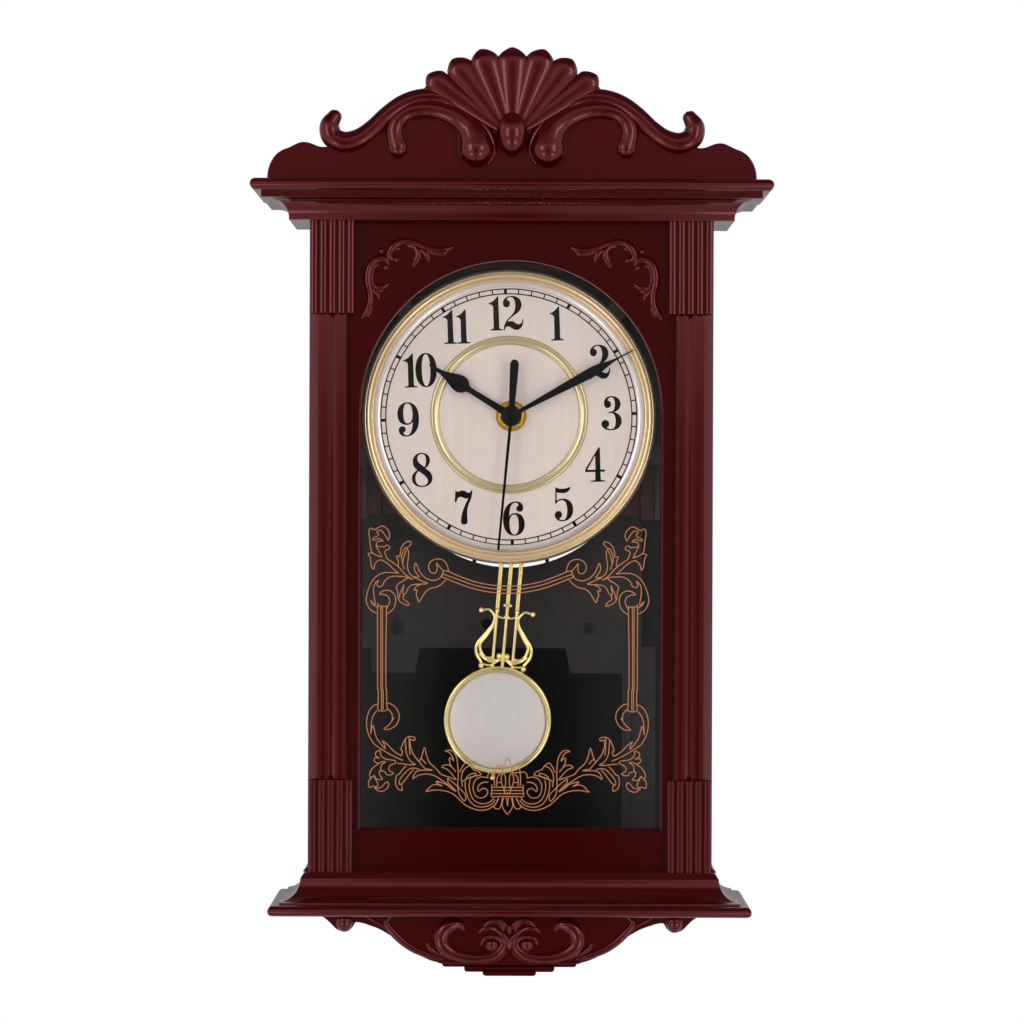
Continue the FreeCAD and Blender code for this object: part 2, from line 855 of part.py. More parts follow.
def crest():
    y_back, y_face = -crest_back_depth, -crest_back_depth - crest_plate
    foot, rise, reach = cornice_top, crest_rise, crest_reach
    flank = [
        spline(scaled(shares, reach, rise, 0, foot), y_face)
        for shares in (crest_foot_shares, crest_tail_shares, crest_shoulder_shares)
    ]
    tips = lobe_tips()
    inner = [scaled(crest_shoulder_shares[-1:], reach, rise, 0, foot)[0]] + tips[::-1]
    flank += [line(a, b, y_face) for a, b in zip(inner, inner[1:])]
    flank += [line(tips[0], (0, foot), y_face), line((0, foot), (reach, foot), y_face)]
    half_plate = slab(flank, y_face, y_back)
    raised = [
        stroke(scaled(crest_stem_shares, reach, rise, 0, foot), [w * rise for w in crest_stem_width_shares],
               y_face - crest_stem_proud, y_face + sink),
        stroke(scaled(crest_tube_shares, reach, rise, 0, foot), [w * rise for w in crest_tube_width_shares],
               y_face - crest_tube_proud, y_face + sink),
        dome(big_knob_out, foot + knob_height, big_knob_radius, crest_knob_sag,
             y_face - crest_knob_sag, y_face + sink),
        dome(small_knob_out, foot + knob_height, small_knob_radius, crest_knob_sag,
             y_face - crest_knob_sag, y_face + sink),
    ]
    lobes = [shell_lobe(tip, radius, y_back) for tip, radius in zip(tips[1:], lobe_radius[1:])]
    side = [half_plate] + raised + lobes
    pieces = side + [mirrored(piece) for piece in side]
    pieces += [shell_lobe(tips[0], lobe_radius[0], y_back), boss(y_face)]
    whole = fuse(pieces)
    room = 2 * reach
    behind = box(-room, room, y_back, y_back + room, foot - room, foot + room)
    below = box(-room, room, y_back - room, y_back + room, foot - room, foot)
    return cut(whole, [behind, below]).removeSplitter()


def boss(y_face):
    """The oval button that the shell's lobes spring from."""
    ball = Part.makeSphere(boss_half_width)
    stretch = FreeCAD.Matrix()
    stretch.A33 = boss_half_height / boss_half_width
    stretch.A22 = boss_proud / boss_half_width
    oval = ball.transformGeometry(stretch)
    oval.translate(Vector(0, y_face, cornice_top + boss_height))
    return oval


apron_edge_shares = [
    (0.823, 0.172), (0.799, 0.157), (0.725, 0.228), (0.651, 0.323), (0.577, 0.489),
    (0.504, 0.612), (0.43, 0.726), (0.375, 0.782), (0.347, 0.809),
]
apron_wing_shares = [(1.0, 0.0), (0.993, 0.046), (0.96, 0.17), (0.937, 0.23)]
apron_stem_shares = [
    (0.8, 0.06), (0.7, 0.13), (0.6, 0.26), (0.52, 0.43), (0.43, 0.56), (0.34, 0.6), (0.28, 0.5),
    (0.31, 0.36), (0.38, 0.36),
]
apron_stem_width_shares = (0.12, 0.16, 0.2, 0.22, 0.22, 0.2, 0.17, 0.14, 0.16)
apron_leaf_shares = [(0.0, 0.1), (0.03, 0.3), (0.09, 0.5), (0.15, 0.74)]
apron_leaf_width_shares = (0.1, 0.2, 0.24, 0.16)


def apron():
    y_back, y_face = -apron_back_depth, -apron_back_depth - apron_plate
    head, drop, reach = base_bottom, -apron_drop, apron_reach
    wing = scaled(apron_wing_shares, reach, drop, 0, head)
    edge = scaled(apron_edge_shares, reach, drop, 0, head)
    foot_top = (0, edge[-1][1])
    outline = [spline(wing, y_face), line(wing[-1], edge[0], y_face), spline(edge, y_face)]
    outline += [line(edge[-1], foot_top, y_face), line(foot_top, (0, head), y_face)]
    outline += [line((0, head), wing[0], y_face)]
    ball = disc(apron_ball_out, head - apron_ball_drop, apron_ball_radius, y_face, y_back)
    half = [slab(outline, y_face, y_back), ball]
    half.append(dome(apron_ball_out, head - apron_ball_drop, apron_ball_radius, apron_stem_proud,
                     y_face, y_face + sink))
    half.append(stroke(scaled(apron_stem_shares, reach, drop, 0, head),
                       [w * apron_drop for w in apron_stem_width_shares],
                       y_face - apron_stem_proud, y_face + sink))
    half.append(stroke(scaled(apron_leaf_shares, reach, drop, 0, head),
                       [w * apron_drop for w in apron_leaf_width_shares],
                       y_face - 2 * apron_stem_proud, y_face + sink))
    pieces = half + [mirrored(piece) for piece in half]
    above = foot_top[1] + sink
    for half_width, level in zip(apron_foot_half_widths, apron_foot_drops):
        pieces.append(box(-half_width, half_width, y_face, y_back, head - level, above))
        above = head - level + sink
    whole = fuse(pieces)
    top = box(-2 * reach, 2 * reach, y_face - reach, y_back + reach, head, head + reach)
    return whole.cut(top).removeSplitter()


# Shares of the window's half width, from the hands' axis, to the right
scroll_stem_shares = [
    ([(0.4, 1.129), (0.5, 1.09), (0.632, 1.143), (0.713, 1.17), (0.792, 1.137), (0.825, 1.076)],
     (0.015, 0.045, 0.055, 0.055, 0.05, 0.03)),
    ([(0.81, 1.035), (0.892, 1.046), (0.946, 1.003), (0.959, 0.929), (0.942, 0.868), (0.892, 0.843),
      (0.825, 0.876)],
     (0.03, 0.045, 0.05, 0.055, 0.05, 0.035, 0.02)),
    ([(0.946, 0.9), (0.95, 0.83), (0.933, 0.77), (0.96, 0.696), (1.0, 0.635)],
     (0.04, 0.06, 0.05, 0.045, 0.015)),
]
scroll_knob_shares = [((0.866, 1.103), 0.03), ((0.772, 1.056), 0.034), ((0.839, 0.992), 0.03)]
scroll_leaf_shares = [
    ([(0.6, 1.13), (0.645, 1.07), (0.639, 1.01)], (0.02, 0.04, 0.015)),
    ([(0.56, 1.115), (0.565, 1.07), (0.53, 1.03)], (0.02, 0.035, 0.012)),
    ([(0.945, 0.85), (0.905, 0.81), (0.89, 0.765)], (0.02, 0.035, 0.012)),
]


def corner_scroll():
    """Right-hand raised scroll between the arch and the corner of the panel."""
    size = window_half
    y_face, y_back = panel_face - scroll_thickness, panel_face
    pieces = []
    for shares, widths in scroll_stem_shares + scroll_leaf_shares:
        points = scaled(shares, size, size, 0, axis_z)
        pieces.append(stroke(points, [w * size for w in widths], y_face, y_back))
    for (across, along), radius_share in scroll_knob_shares:
        pieces.append(dome(across * size, axis_z + along * size, radius_share * size,
                           scroll_knob_sag, y_face, y_back))
    return Part.makeCompound(merged(pieces))


def merged(pieces):
    """Solids left after fusing whatever touches."""
    return pieces[0].fuse(pieces[1:]).removeSplitter().Solids


# Glass, dial and hands


def window_glass():
    return slab(window_outline(glass_lap, panel_back), panel_back, glass_back)


def glass_clips():
    """Z-shaped clips that hold the glass by its edge, three on each side."""
    edge = window_half + glass_lap
    low, high = window_sill, arch_z
    clips = []
    for share in clip_heights_share:
        middle = low + share * (high - low)
        z0, z1 = middle - clip_width / 2, middle + clip_width / 2
        finger = box(edge - clip_grip, edge + clip_foot, glass_back, glass_back + clip_thickness, z0, z1)
        foot = box(edge + drop_in_gap, edge + clip_foot, panel_back, glass_back, z0, z1)
        clips += both_sides(fuse([finger, foot]))
    return Part.makeCompound(clips)


def dial_pan():
    """Moulded pan behind the dial, with four lugs that reach the panel's posts."""
    pieces = [disc(0, axis_z, bezel_radius - pan_lip, dial_back, pan_back)]
    for (x, z), angle in zip(lug_places(), lug_angles_deg):
        pieces.append(disc(x, z, lug_radius, dial_back, pan_back))
        near = polar(0, axis_z, dial_radius - lug_radius, angle)
        pieces.append(bar(near, (x, z), lug_radius, dial_back, pan_back))
    pan = fuse(pieces)
    tools = [screw_hole(x, z, dial_back - overrun, pan_back + overrun) for x, z in lug_places()]
    tools.append(disc(0, axis_z, bush_radius + drop_in_gap, dial_back - overrun, pan_back + overrun))
    return cut(pan, tools)


def bar(a, b, half_width, y0, y1):
    """A straight flat bar between two (x, z) points."""
    dx, dz = b[0] - a[0], b[1] - a[1]
    length = math.hypot(dx, dz)
    nx, nz = -dz / length * half_width, dx / length * half_width
    one_side = [(a[0] + nx, a[1] + nz), (b[0] + nx, b[1] + nz)]
    other_side = [(b[0] - nx, b[1] - nz), (a[0] - nx, a[1] - nz)]
    return polygon(one_side + other_side, y0, y1)


def dial_screws():
    return Part.makeCompound([screw(x, z, pan_back) for x, z in lug_places()])


def dial_plate():
    plate = disc(0, axis_z, dial_radius, dial_face, dial_back)
    return plate.cut(disc(0, axis_z, bush_radius + drop_in_gap, dial_face - overrun, dial_back + overrun))


# Front of the turned rings, as shares of their width outwards and of how far they stand proud
bezel_shares = [
    (0.0, 0.0), (0.0, 0.15), (0.08, 0.3), (0.22, 0.3), (0.3, 0.45), (0.47, 0.85), (0.6, 1.0),
    (0.78, 0.85), (1.0, 0.6),
]
chapter_shares = [(0.0, 0.0), (0.0, 0.33), (0.33, 1.0), (0.67, 1.0), (1.0, 0.33), (1.0, 0.0)]


def ring_front(shares, inner, outer, proud):
    """(radius, y) points of a ring that stands proud of the dial's face."""
    return [(inner + across * (outer - inner), dial_face - rise * proud) for across, rise in shares]


def dial_bezel():
    """Turned ring with a raised bead that sits over the dial's edge."""
    front = ring_front(bezel_shares, bezel_inner_radius, bezel_radius, bezel_proud)
    rebate = dial_radius + drop_in_gap
    return turned(front + [(bezel_radius, dial_back), (rebate, dial_back), (rebate, dial_face)], 0, axis_z)


def chapter_ring():
    """Narrow raised ring round the middle of the dial."""
    front = ring_front(chapter_shares, chapter_inner_radius, chapter_outer_radius, chapter_proud)
    return turned(front, 0, axis_z)


# Half width along a hand, as shares of its length and of its widest half
leaf_shares = [
    (0.0, 0.4), (0.18, 0.3), (0.42, 0.36), (0.6, 0.85), (0.7, 1.0), (0.8, 0.72), (0.92, 0.25),
    (1.0, 0.06),
]
baton_shares = [(0.0, 0.62), (0.2, 0.5), (0.4, 0.6), (0.62, 1.0), (0.76, 0.8), (0.9, 0.4), (1.0, 0.1)]
needle_shares = [(0.0, 1.0), (0.5, 0.85), (1.0, 0.5)]


def blade(shares, length, half_width, y0, y1):
    """A hand's blade, pointing up from the axis."""
    right = [(share * half_width, axis_z + along * length) for along, share in shares]
    left = [(-x, z) for x, z in reversed(right)]
    edges = [spline(right, y0), line(right[-1], left[0], y0), spline(left, y0), line(left[-1], right[0], y0)]
    return slab(edges, y0, y1)


def set_to(shape, angle_deg):
    """Turns a hand clockwise from twelve, as seen from the front."""
    turned_hand = shape.copy()
    turned_hand.rotate(Vector(0, 0, axis_z), BACK, angle_deg)
    return turned_hand


def hour_hand():
    y0 = -hour_hand_depth
    y1 = y0 + hand_thickness
    body = fuse([blade(leaf_shares, hour_hand_length, hour_hand_half_width, y0, y1),
                 disc(0, axis_z, hour_hub_radius, y0, y1)])
    bore = disc(0, axis_z, hour_pipe_radius, y0 - overrun, y1 + overrun)
    return set_to(body.cut(bore), hour_hand_angle_deg)


def minute_hand():
    y0 = -minute_hand_depth
    y1 = y0 + hand_thickness
    body = fuse([blade(baton_shares, minute_hand_length, minute_hand_half_width, y0, y1),
                 disc(0, axis_z, minute_hub_radius, y0, y1)])
    bore = disc(0, axis_z, centre_pipe_radius, y0 - overrun, y1 + overrun)
    return set_to(body.cut(bore), minute_hand_angle_deg)


def second_hand():
    """Needle with a counterweight tail and a cap over the arbor's end."""
    y0 = -second_hand_depth
    y1 = y0 + hand_thickness
    tail = blade(needle_shares, second_hand_tail, second_hand_half_width, y0, y1)
    tail.rotate(Vector(0, 0, axis_z), BACK, 180)
    weight_z = axis_z - second_hand_tail + second_hand_tail_half_width
    body = fuse([
        blade(needle_shares, second_hand_length, second_hand_half_width, y0, y1),
        tail,
        disc(0, weight_z, second_hand_tail_half_width, y0, y1),
        dome(0, axis_z, second_hub_radius, hand_thickness, y0 - second_cap_height + hand_thickness, y1),
    ])
    bore = disc(0, axis_z, arbor_radius, y0, y1 + overrun)
    return set_to(body.cut(bore), second_hand_angle_deg)


def hand_washer():
    return ring(0, axis_z, washer_radius, bush_radius + drop_in_gap, dial_face - washer_thickness, dial_face)


def hand_nut():
    """Hexagonal nut that clamps the dial to the movement's bush."""
    seat = dial_face - washer_thickness
    corner = nut_across_flats / 2 / math.cos(math.radians(30))
    corners = [polar(0, axis_z, corner, 60 * i) for i in range(6)]
    nut = polygon(corners, seat - nut_height, seat)
    return nut.cut(disc(0, axis_z, bush_radius + running_gap, seat - nut_height - overrun, seat + overrun))


# Movement case


def movement_outline(y0, y1, inset):
    """The movement's wide upper section."""
    half = movement_half_width - inset
    return box(-half, half, y0, y1, axis_z - movement_shoulder + inset, axis_z + movement_top - inset)


def drive_outline(y0, y1, inset):
    """The narrow lower section that holds the pendulum drive."""
    half = drive_half_width - inset
    return box(-half, half, y0, y1, axis_z - movement_bottom + inset, axis_z - movement_shoulder + inset)


def train_axes():
    """Places of the train's axes, as (x, z)."""
    hands = (0, axis_z)
    motion = polar(*hands, motion_distance, motion_angle_deg)
    third = polar(*hands, third_distance, third_angle_deg)
    intermediate = polar(*hands, intermediate_distance, intermediate_angle_deg)
    rotor = polar(*intermediate, rotor_distance, rotor_angle_deg)
    return {"hands": hands, "motion": motion, "third": third, "intermediate": intermediate, "rotor": rotor}


def layer(number):
    """Front of a wheel layer; the hour wheel's is number 0."""
    return inner_front + first_layer_gap + number * layer_pitch


def cover_screw_places():
    """Where the two halves of the movement case are screwed together."""
    x = movement_half_width - cover_screw_inset
    high = axis_z + movement_top - cover_screw_inset
    low = axis_z - bay_top + cover_screw_inset
    return [(-x, high), (x, high), (-x, low), (x, low)]


def wall_across(y0, y1, top_below_axis):
    """An inner wall of the movement, from side to side."""
    half = movement_half_width - sink
    top = axis_z - top_below_axis
    return box(-half, half, y0, y1, top - movement_wall, top)


def movement_front_case():
    """Front half: walls, threaded bush, battery bay and the front pivots."""
    lower_front = -drive_front_depth
    upper_hollow = movement_outline(inner_front, split + overrun, movement_wall)
    lower_hollow = drive_outline(lower_front + movement_wall, split + overrun, movement_wall)
    axes = train_axes()
    boss_backs = front_bosses()
    post = screw_radius + movement_wall
    pieces = [
        movement_outline(movement_front, split, 0).cut(upper_hollow),
        drive_outline(lower_front, split, 0).cut(lower_hollow),
        wall_across(inner_front - sink, split, bay_top - movement_wall),
        disc(0, axis_z, bush_radius, -bush_reach_depth, inner_front),
    ]
    pieces += [
        disc(*axes[name], pivot_boss_radius, inner_front - sink, back) for name, back in boss_backs.items()
    ]
    pieces += [disc(x, z, post, inner_front - sink, split) for x, z in cover_screw_places()]
    pivot_hole = pivot_radius + running_gap
    tools = [
        disc(*axes[name], pivot_hole, back - pivot_engagement, back + overrun)
        for name, back in boss_backs.items()
    ]
    tools += [screw_hole(x, z, split - screw_bite, split + overrun) for x, z in cover_screw_places()]
    pipe_hole = hour_pipe_radius + running_gap
    tools.append(disc(0, axis_z, pipe_hole, -bush_reach_depth - overrun, inner_front + overrun))
    tools.append(spigot_slot(lower_front - overrun, split + overrun))
    tools.append(disc(0, pivot_z, pin_radius, pin_front(), split))
    return cut(fuse(pieces), tools)


def front_bosses():
    """Where each front pivot boss ends: just before the first wheel layer it can't pass."""
    stops = {"third": centre_layer, "intermediate": centre_layer, "rotor": intermediate_layer}
    return {name: layer(number) - first_layer_gap for name, number in stops.items()}


def pin_front():
    """Front end of the pendulum's pivot pin, half way into the lower section's front wall."""
    return -drive_front_depth + movement_wall / 2


def spigot_slot(y0, y1):
    """Room for the pendulum's spigot to swing in the lower section's front and floor."""
    low = axis_z - movement_bottom - overrun
    high = pivot_z - spigot_drop + spigot_radius + seat_gap
    return box(-spigot_slot_half, spigot_slot_half, y0, y1, low, high)


def movement_back_case():
    """Rear half, open at the battery bay."""
    upper_hollow = movement_outline(split - overrun, inner_back, movement_wall)
    lower_hollow = drive_outline(split - overrun, inner_back, movement_wall)
    axes = train_axes()
    boss_front = inner_back - movement_wall
    pieces = [
        movement_outline(split, movement_back, 0).cut(upper_hollow),
        drive_outline(split, movement_back, 0).cut(lower_hollow),
        wall_across(split, movement_back - sink, bay_top - movement_wall),
        disc(0, pivot_z + lever_up, drive_coil_bore, boss_front, inner_back + sink),
        disc(0, pivot_z, pin_radius + movement_wall, boss_front, inner_back + sink),
    ]
    pieces += [
        disc(*axes[name], pivot_boss_radius, rear_boss_front(name), inner_back + sink)
        for name in rear_bosses()
    ]
    pieces += board_posts()
    half = movement_half_width - movement_wall
    bay_back = movement_back + overrun
    pivot_hole = pivot_radius + running_gap
    tools = [box(-half, half, inner_back - overrun, bay_back, axis_z - bay_bottom, axis_z - bay_top)]
    for name in rear_bosses():
        front = rear_boss_front(name)
        tools.append(disc(*axes[name], pivot_hole, front - overrun, front + pivot_engagement))
    tools.append(disc(*axes["motion"], knob_shaft_radius + running_gap, split, movement_back + overrun))
    tools += [screw_hole(x, z, split - overrun, movement_back + overrun) for x, z in cover_screw_places()]
    tools.append(disc(0, pivot_z, pin_radius, boss_front - overrun, inner_back))
    tools.append(spigot_slot(split - overrun, -lever_front_depth + lever_thickness + seat_gap))
    return cut(fuse(pieces), tools)


def rear_bosses():
    """Axes with a rear pivot in the back half."""
    return ("hands", "third", "intermediate", "rotor")


def rear_boss_front(name):
    """Front of a rear pivot boss: just behind the last wheel on its axis."""
    if name == "rotor":
        return rotor_front() + rotor_length + seat_gap
    last = intermediate_layer if name == "intermediate" else seconds_layer
    return layer(last) + gear_thickness + pinion_extra + seat_gap


def rotor_front():
    """Front face of the rotor's magnet."""
    return layer(intermediate_layer) + gear_thickness + pinion_extra + seat_gap


def board_posts():
    """Two short posts that carry the circuit board."""
    front, back = inner_back - board_standoff, inner_back + sink
    heights = [axis_z + board_z + share * board_height for share in board_post_shares]
    return [disc(board_x + board_post_inset, z, screw_radius, front, back) for z in heights]


def movement_screws():
    return Part.makeCompound([screw(x, z, movement_back) for x, z in cover_screw_places()])


# Gear train


def involute(radius, base):
    """The involute angle at a radius."""
    if radius <= base:
        return 0.0
    return math.sqrt((radius / base) ** 2 - 1) - math.acos(base / radius)


def flank(teeth, module):
    """(radius, half angle) points up one side of a tooth."""
    pitch = module * teeth / 2
    base = pitch * math.cos(math.radians(pressure_angle_deg))
    tip, root = pitch + addendum_share * module, pitch - dedendum_share * module
    half = math.pi / 2 * (1 - backlash_share) / teeth + involute(pitch, base)
    points = [(max(pitch, base), half - involute(pitch, base)), (tip, half - involute(tip, base))]
    if root < base:
        return [(root, half * tooth_root_share), (base, half)] + points
    return [(root, half - involute(root, base))] + points


def gear(axis, teeth, distance, mate_teeth, facing_deg, gap, y0, y1):
    """A spur gear on an axis; a tooth, or a gap, faces its mate."""
    module = 2 * distance / (teeth + mate_teeth)
    side = flank(teeth, module)
    points = []
    pitch_angle = 2 * math.pi / teeth
    start = math.radians(facing_deg) + (pitch_angle / 2 if gap else 0)
    for k in range(teeth):
        middle = start + k * pitch_angle
        arcs = [(radius, middle - half) for radius, half in side]
        arcs += [(radius, middle + half) for radius, half in reversed(side)]
        points += [(axis[0] + radius * math.cos(a), axis[1] + radius * math.sin(a)) for radius, a in arcs]
    return polygon(points, y0, y1)


def driving(axis, teeth, distance, mate_teeth, facing_deg, number):
    """A pinion, a little longer than the wheel of the layer that it meshes with."""
    y0 = layer(number) - pinion_extra
    y1 = layer(number) + gear_thickness + pinion_extra
    return gear(axis, teeth, distance, mate_teeth, facing_deg, False, y0, y1)


def driven(axis, teeth, distance, mate_teeth, facing_deg, number):
    """A wheel with a gap facing the pinion that drives it."""
    y0 = layer(number)
    return gear(axis, teeth, distance, mate_teeth, facing_deg + 180, True, y0, y0 + gear_thickness)


def hour_wheel():
    """Wheel and pipe that carry the hour hand."""
    at = train_axes()["hands"]
    facing = motion_angle_deg + 180
    wheel = driven(at, hour_wheel_teeth, motion_distance, minute_pinion_teeth, facing, hour_layer)
    pipe = disc(*at, hour_pipe_radius, -hour_hand_depth, layer(hour_layer) + gear_thickness)
    bore = disc(*at, centre_pipe_radius + running_gap, -hour_hand_depth - overrun, split)
    return fuse([wheel, pipe]).cut(bore)


def minute_wheel():
    """Motion-work wheel and pinion on the setting shaft."""
    at = train_axes()["motion"]
    wheel = driven(at, minute_wheel_teeth, motion_distance, cannon_teeth, motion_angle_deg, minute_layer)
    front, back = layer(hour_layer) - pinion_extra / 2, layer(minute_layer)
    facing = motion_angle_deg + 180
    pinion = gear(at, minute_pinion_teeth, motion_distance, hour_wheel_teeth, facing, False, front, back)
    shaft = disc(*at, knob_shaft_radius, back, movement_back + seat_gap + knob_socket)
    return fuse([wheel, pinion, shaft])


def setting_knob():
    """Fluted knob behind the movement that sets the hands."""
    at = train_axes()["motion"]
    y0 = movement_back + seat_gap
    y1 = y0 + knob_thickness
    knob = disc(*at, knob_radius, y0, y1)
    places = [polar(*at, knob_radius, 360 / knob_flutes * i) for i in range(knob_flutes)]
    flutes = [disc(*place, knob_flute_radius, y0 - overrun, y1 + overrun) for place in places]
    socket = disc(*at, knob_shaft_radius, y0 - overrun, y0 + knob_socket)
    return cut(knob, flutes + [socket])


def centre_wheel():
    """Wheel, cannon pinion and pipe that carry the minute hand."""
    at = train_axes()["hands"]
    facing = third_angle_deg + 180
    wheel = driven(at, centre_wheel_teeth, third_distance, third_pinion_teeth, facing, centre_layer)
    cannon = gear(at, cannon_teeth, motion_distance, minute_wheel_teeth, motion_angle_deg, False,
                  layer(minute_layer) - pinion_extra, layer(centre_layer))
    pipe = disc(*at, centre_pipe_radius, -minute_hand_depth, layer(centre_layer) + gear_thickness)
    bore = disc(*at, arbor_radius + running_gap, -minute_hand_depth - overrun, split)
    return fuse([wheel, cannon, pipe]).cut(bore)


def pivoted_arbor(name):
    """The arbor between an axis's front and rear pivots."""
    front = front_bosses()[name] - pivot_engagement + running_gap
    back = rear_boss_front(name) + pivot_engagement - running_gap
    return disc(*train_axes()[name], pivot_radius, front, back)


def third_wheel():
    at = train_axes()["third"]
    facing = third_angle_deg + 180
    wheel = driven(at, third_wheel_teeth, third_distance, seconds_pinion_teeth, third_angle_deg, third_layer)
    pinion = driving(at, third_pinion_teeth, third_distance, centre_wheel_teeth, facing, centre_layer)
    return fuse([wheel, pinion, pivoted_arbor("third")])


def seconds_wheel():
    """Wheel, pinion and the long arbor that carries the second hand."""
    at = train_axes()["hands"]
    facing = intermediate_angle_deg + 180
    wheel_back = layer(seconds_layer) + gear_thickness
    pinion_back = layer(third_layer) + gear_thickness + pinion_extra
    tail_end = rear_boss_front("hands") + pivot_engagement - running_gap
    return fuse([
        driven(at, seconds_wheel_teeth, intermediate_distance, intermediate_pinion_teeth, facing,
               seconds_layer),
        driving(at, seconds_pinion_teeth, third_distance, third_wheel_teeth, third_angle_deg, third_layer),
        disc(*at, wheel_hub_radius, pinion_back, layer(seconds_layer)),
        disc(*at, arbor_radius, -second_hand_depth, wheel_back + pinion_extra),
        disc(*at, pivot_radius, layer(seconds_layer), tail_end),
    ])


def intermediate_wheel():
    at = train_axes()["intermediate"]
    wheel = driven(at, intermediate_wheel_teeth, rotor_distance, rotor_pinion_teeth,
                   rotor_angle_deg + 180, intermediate_layer)
    pinion = driving(at, intermediate_pinion_teeth, intermediate_distance, seconds_wheel_teeth,
                     intermediate_angle_deg + 180, seconds_layer)
    return fuse([wheel, pinion, pivoted_arbor("intermediate")])


def rotor():
    """Round magnet and pinion that step twice in each turn."""
    at = train_axes()["rotor"]
    pinion = driving(at, rotor_pinion_teeth, rotor_distance, intermediate_wheel_teeth,
                     rotor_angle_deg + 180, intermediate_layer)
    magnet = disc(*at, rotor_radius, rotor_front(), rotor_front() + rotor_length)
    return fuse([pinion, magnet, pivoted_arbor("rotor")])


def stator_level():
    """Front face of the stator, level with the middle of the rotor's magnet."""
    return rotor_front() + (rotor_length - stator_thickness) / 2


def stator():
    """Iron plate round the rotor, with two arms to the coil's core."""
    x, z = train_axes()["rotor"]
    y0 = stator_level()
    y1 = y0 + stator_thickness
    half = stator_arm_width / 2
    high, low = axis_z + coil_half_length + stator_arm_width, axis_z - coil_half_length
    arms = [
        box(x, coil_x + half, y0, y1, high - stator_arm_width, high),
        box(x, coil_x + half, y0, y1, low - stator_arm_width, low),
        box(x, x + half, y0, y1, low - stator_arm_width, z),
    ]
    plate = fuse([disc(x, z, stator_ring_radius, y0, y1)] + arms)
    return plate.cut(disc(x, z, rotor_radius + rotor_air_gap, y0 - overrun, y1 + overrun))


def motor_coil():
    """Coil of fine wire on a bobbin, with its core between the stator's arms."""
    y = stator_level() + stator_thickness / 2
    low, high = axis_z - coil_half_length, axis_z + coil_half_length
    place = Vector(coil_x, y, low)
    winding = Part.makeCylinder(coil_radius, high - low, place, UP)
    flanges = [
        Part.makeCylinder(coil_flange_radius, coil_flange, Vector(coil_x, y, level), UP)
        for level in (low, high - coil_flange)
    ]
    return fuse([winding] + flanges)


def circuit_board():
    """Board with its chip."""
    y1 = inner_back - board_standoff
    y0 = y1 - board_thickness
    board = box(board_x, board_x + board_width, y0, y1, axis_z + board_z, axis_z + board_z + board_height)
    chip = dome(board_x + chip_x, axis_z + board_z + chip_z, chip_radius, chip_height, y0, y0 + sink)
    return fuse([board, chip])


def quartz_crystal():
    """Tuning-fork crystal in its small can, lying on the board."""
    y = inner_back - board_standoff - board_thickness - crystal_radius
    place = Vector(board_x + crystal_x, y, axis_z + board_z + crystal_z)
    return Part.makeCylinder(crystal_radius, crystal_length, place, RIGHT)


# Battery


def battery_axis():
    """The battery's axis: depth and height."""
    y = inner_front + battery_wrap_gap + battery_radius
    return y, axis_z - (bay_top + bay_bottom) / 2


def battery():
    y, z = battery_axis()
    half = battery_length / 2
    shoulder = half - battery_nub_length
    body = Part.makeCylinder(battery_radius, half + shoulder, Vector(-half, y, z), RIGHT)
    nub = Part.makeCylinder(battery_nub_radius, battery_nub_length, Vector(shoulder, y, z), RIGHT)
    return fuse([body, nub])


def battery_contact(side):
    """A spring-steel strip between the bay's end wall and the battery."""
    y, z = battery_axis()
    wall = movement_half_width - movement_wall
    face = wall - contact_thickness
    half = contact_half_width
    leaf = box(face, wall, y - half, y + half, z - half, z + half)
    spring = Part.makeCone(contact_root_radius, contact_tip_radius, face - battery_length / 2,
                           Vector(face, y, z), -RIGHT)
    whole = fuse([leaf, spring])
    return whole if side > 0 else mirrored(whole)


# Pendulum drive


def drive_coil():
    """Coil that nudges the swinging magnet."""
    bore = drive_coil_bore + running_gap
    return ring(0, pivot_z + lever_up, drive_coil_radius, bore, -drive_coil_front_depth, inner_back)


def pivot_pin():
    return disc(0, pivot_z, pin_radius, pin_front(), inner_back)


def tilted(shape):
    """A piece of the pendulum, swung from plumb to the pose it is kept in."""
    swung = shape.copy()
    swung.rotate(Vector(0, 0, pivot_z), BACK, swing_deg)
    return swung


def pendulum_lever():
    """Lever on the pivot pin, with a magnet seat above and a spigot below."""
    y0 = -lever_front_depth
    y1 = y0 + lever_thickness
    up = box(-lever_width / 2, lever_width / 2, y0, y1, pivot_z, pivot_z + lever_up)
    hub = disc(0, pivot_z, lever_hub_radius, y0, y1)
    head = disc(0, pivot_z + lever_up, magnet_radius, y0, y1)
    spigot_z = pivot_z - spigot_drop
    tongue = bar((0, pivot_z), (rod_line_out, spigot_z), spigot_radius, y0, y1)
    spigot = disc(rod_line_out, spigot_z, spigot_radius, -spigot_front_depth, y1)
    bore = disc(0, pivot_z, pin_radius + running_gap, y0 - overrun, y1 + overrun)
    return tilted(fuse([up, hub, head, tongue, spigot]).cut(bore))


def lever_magnet():
    y0 = -lever_front_depth + lever_thickness
    return tilted(disc(0, pivot_z + lever_up, magnet_radius, y0, y0 + magnet_thickness))


# Pendulum


def down(x, s):
    """A point of the pendulum: x beside the rods' line and s below the pivot."""
    return rod_line_out + x, pivot_z - s


def strip(half_width, x, s0, s1, y0, y1):
    """An upright flat bar of the pendulum."""
    (left, high), (right, low) = down(x - half_width, s0), down(x + half_width, s1)
    return box(left, right, y0, y1, low, high)


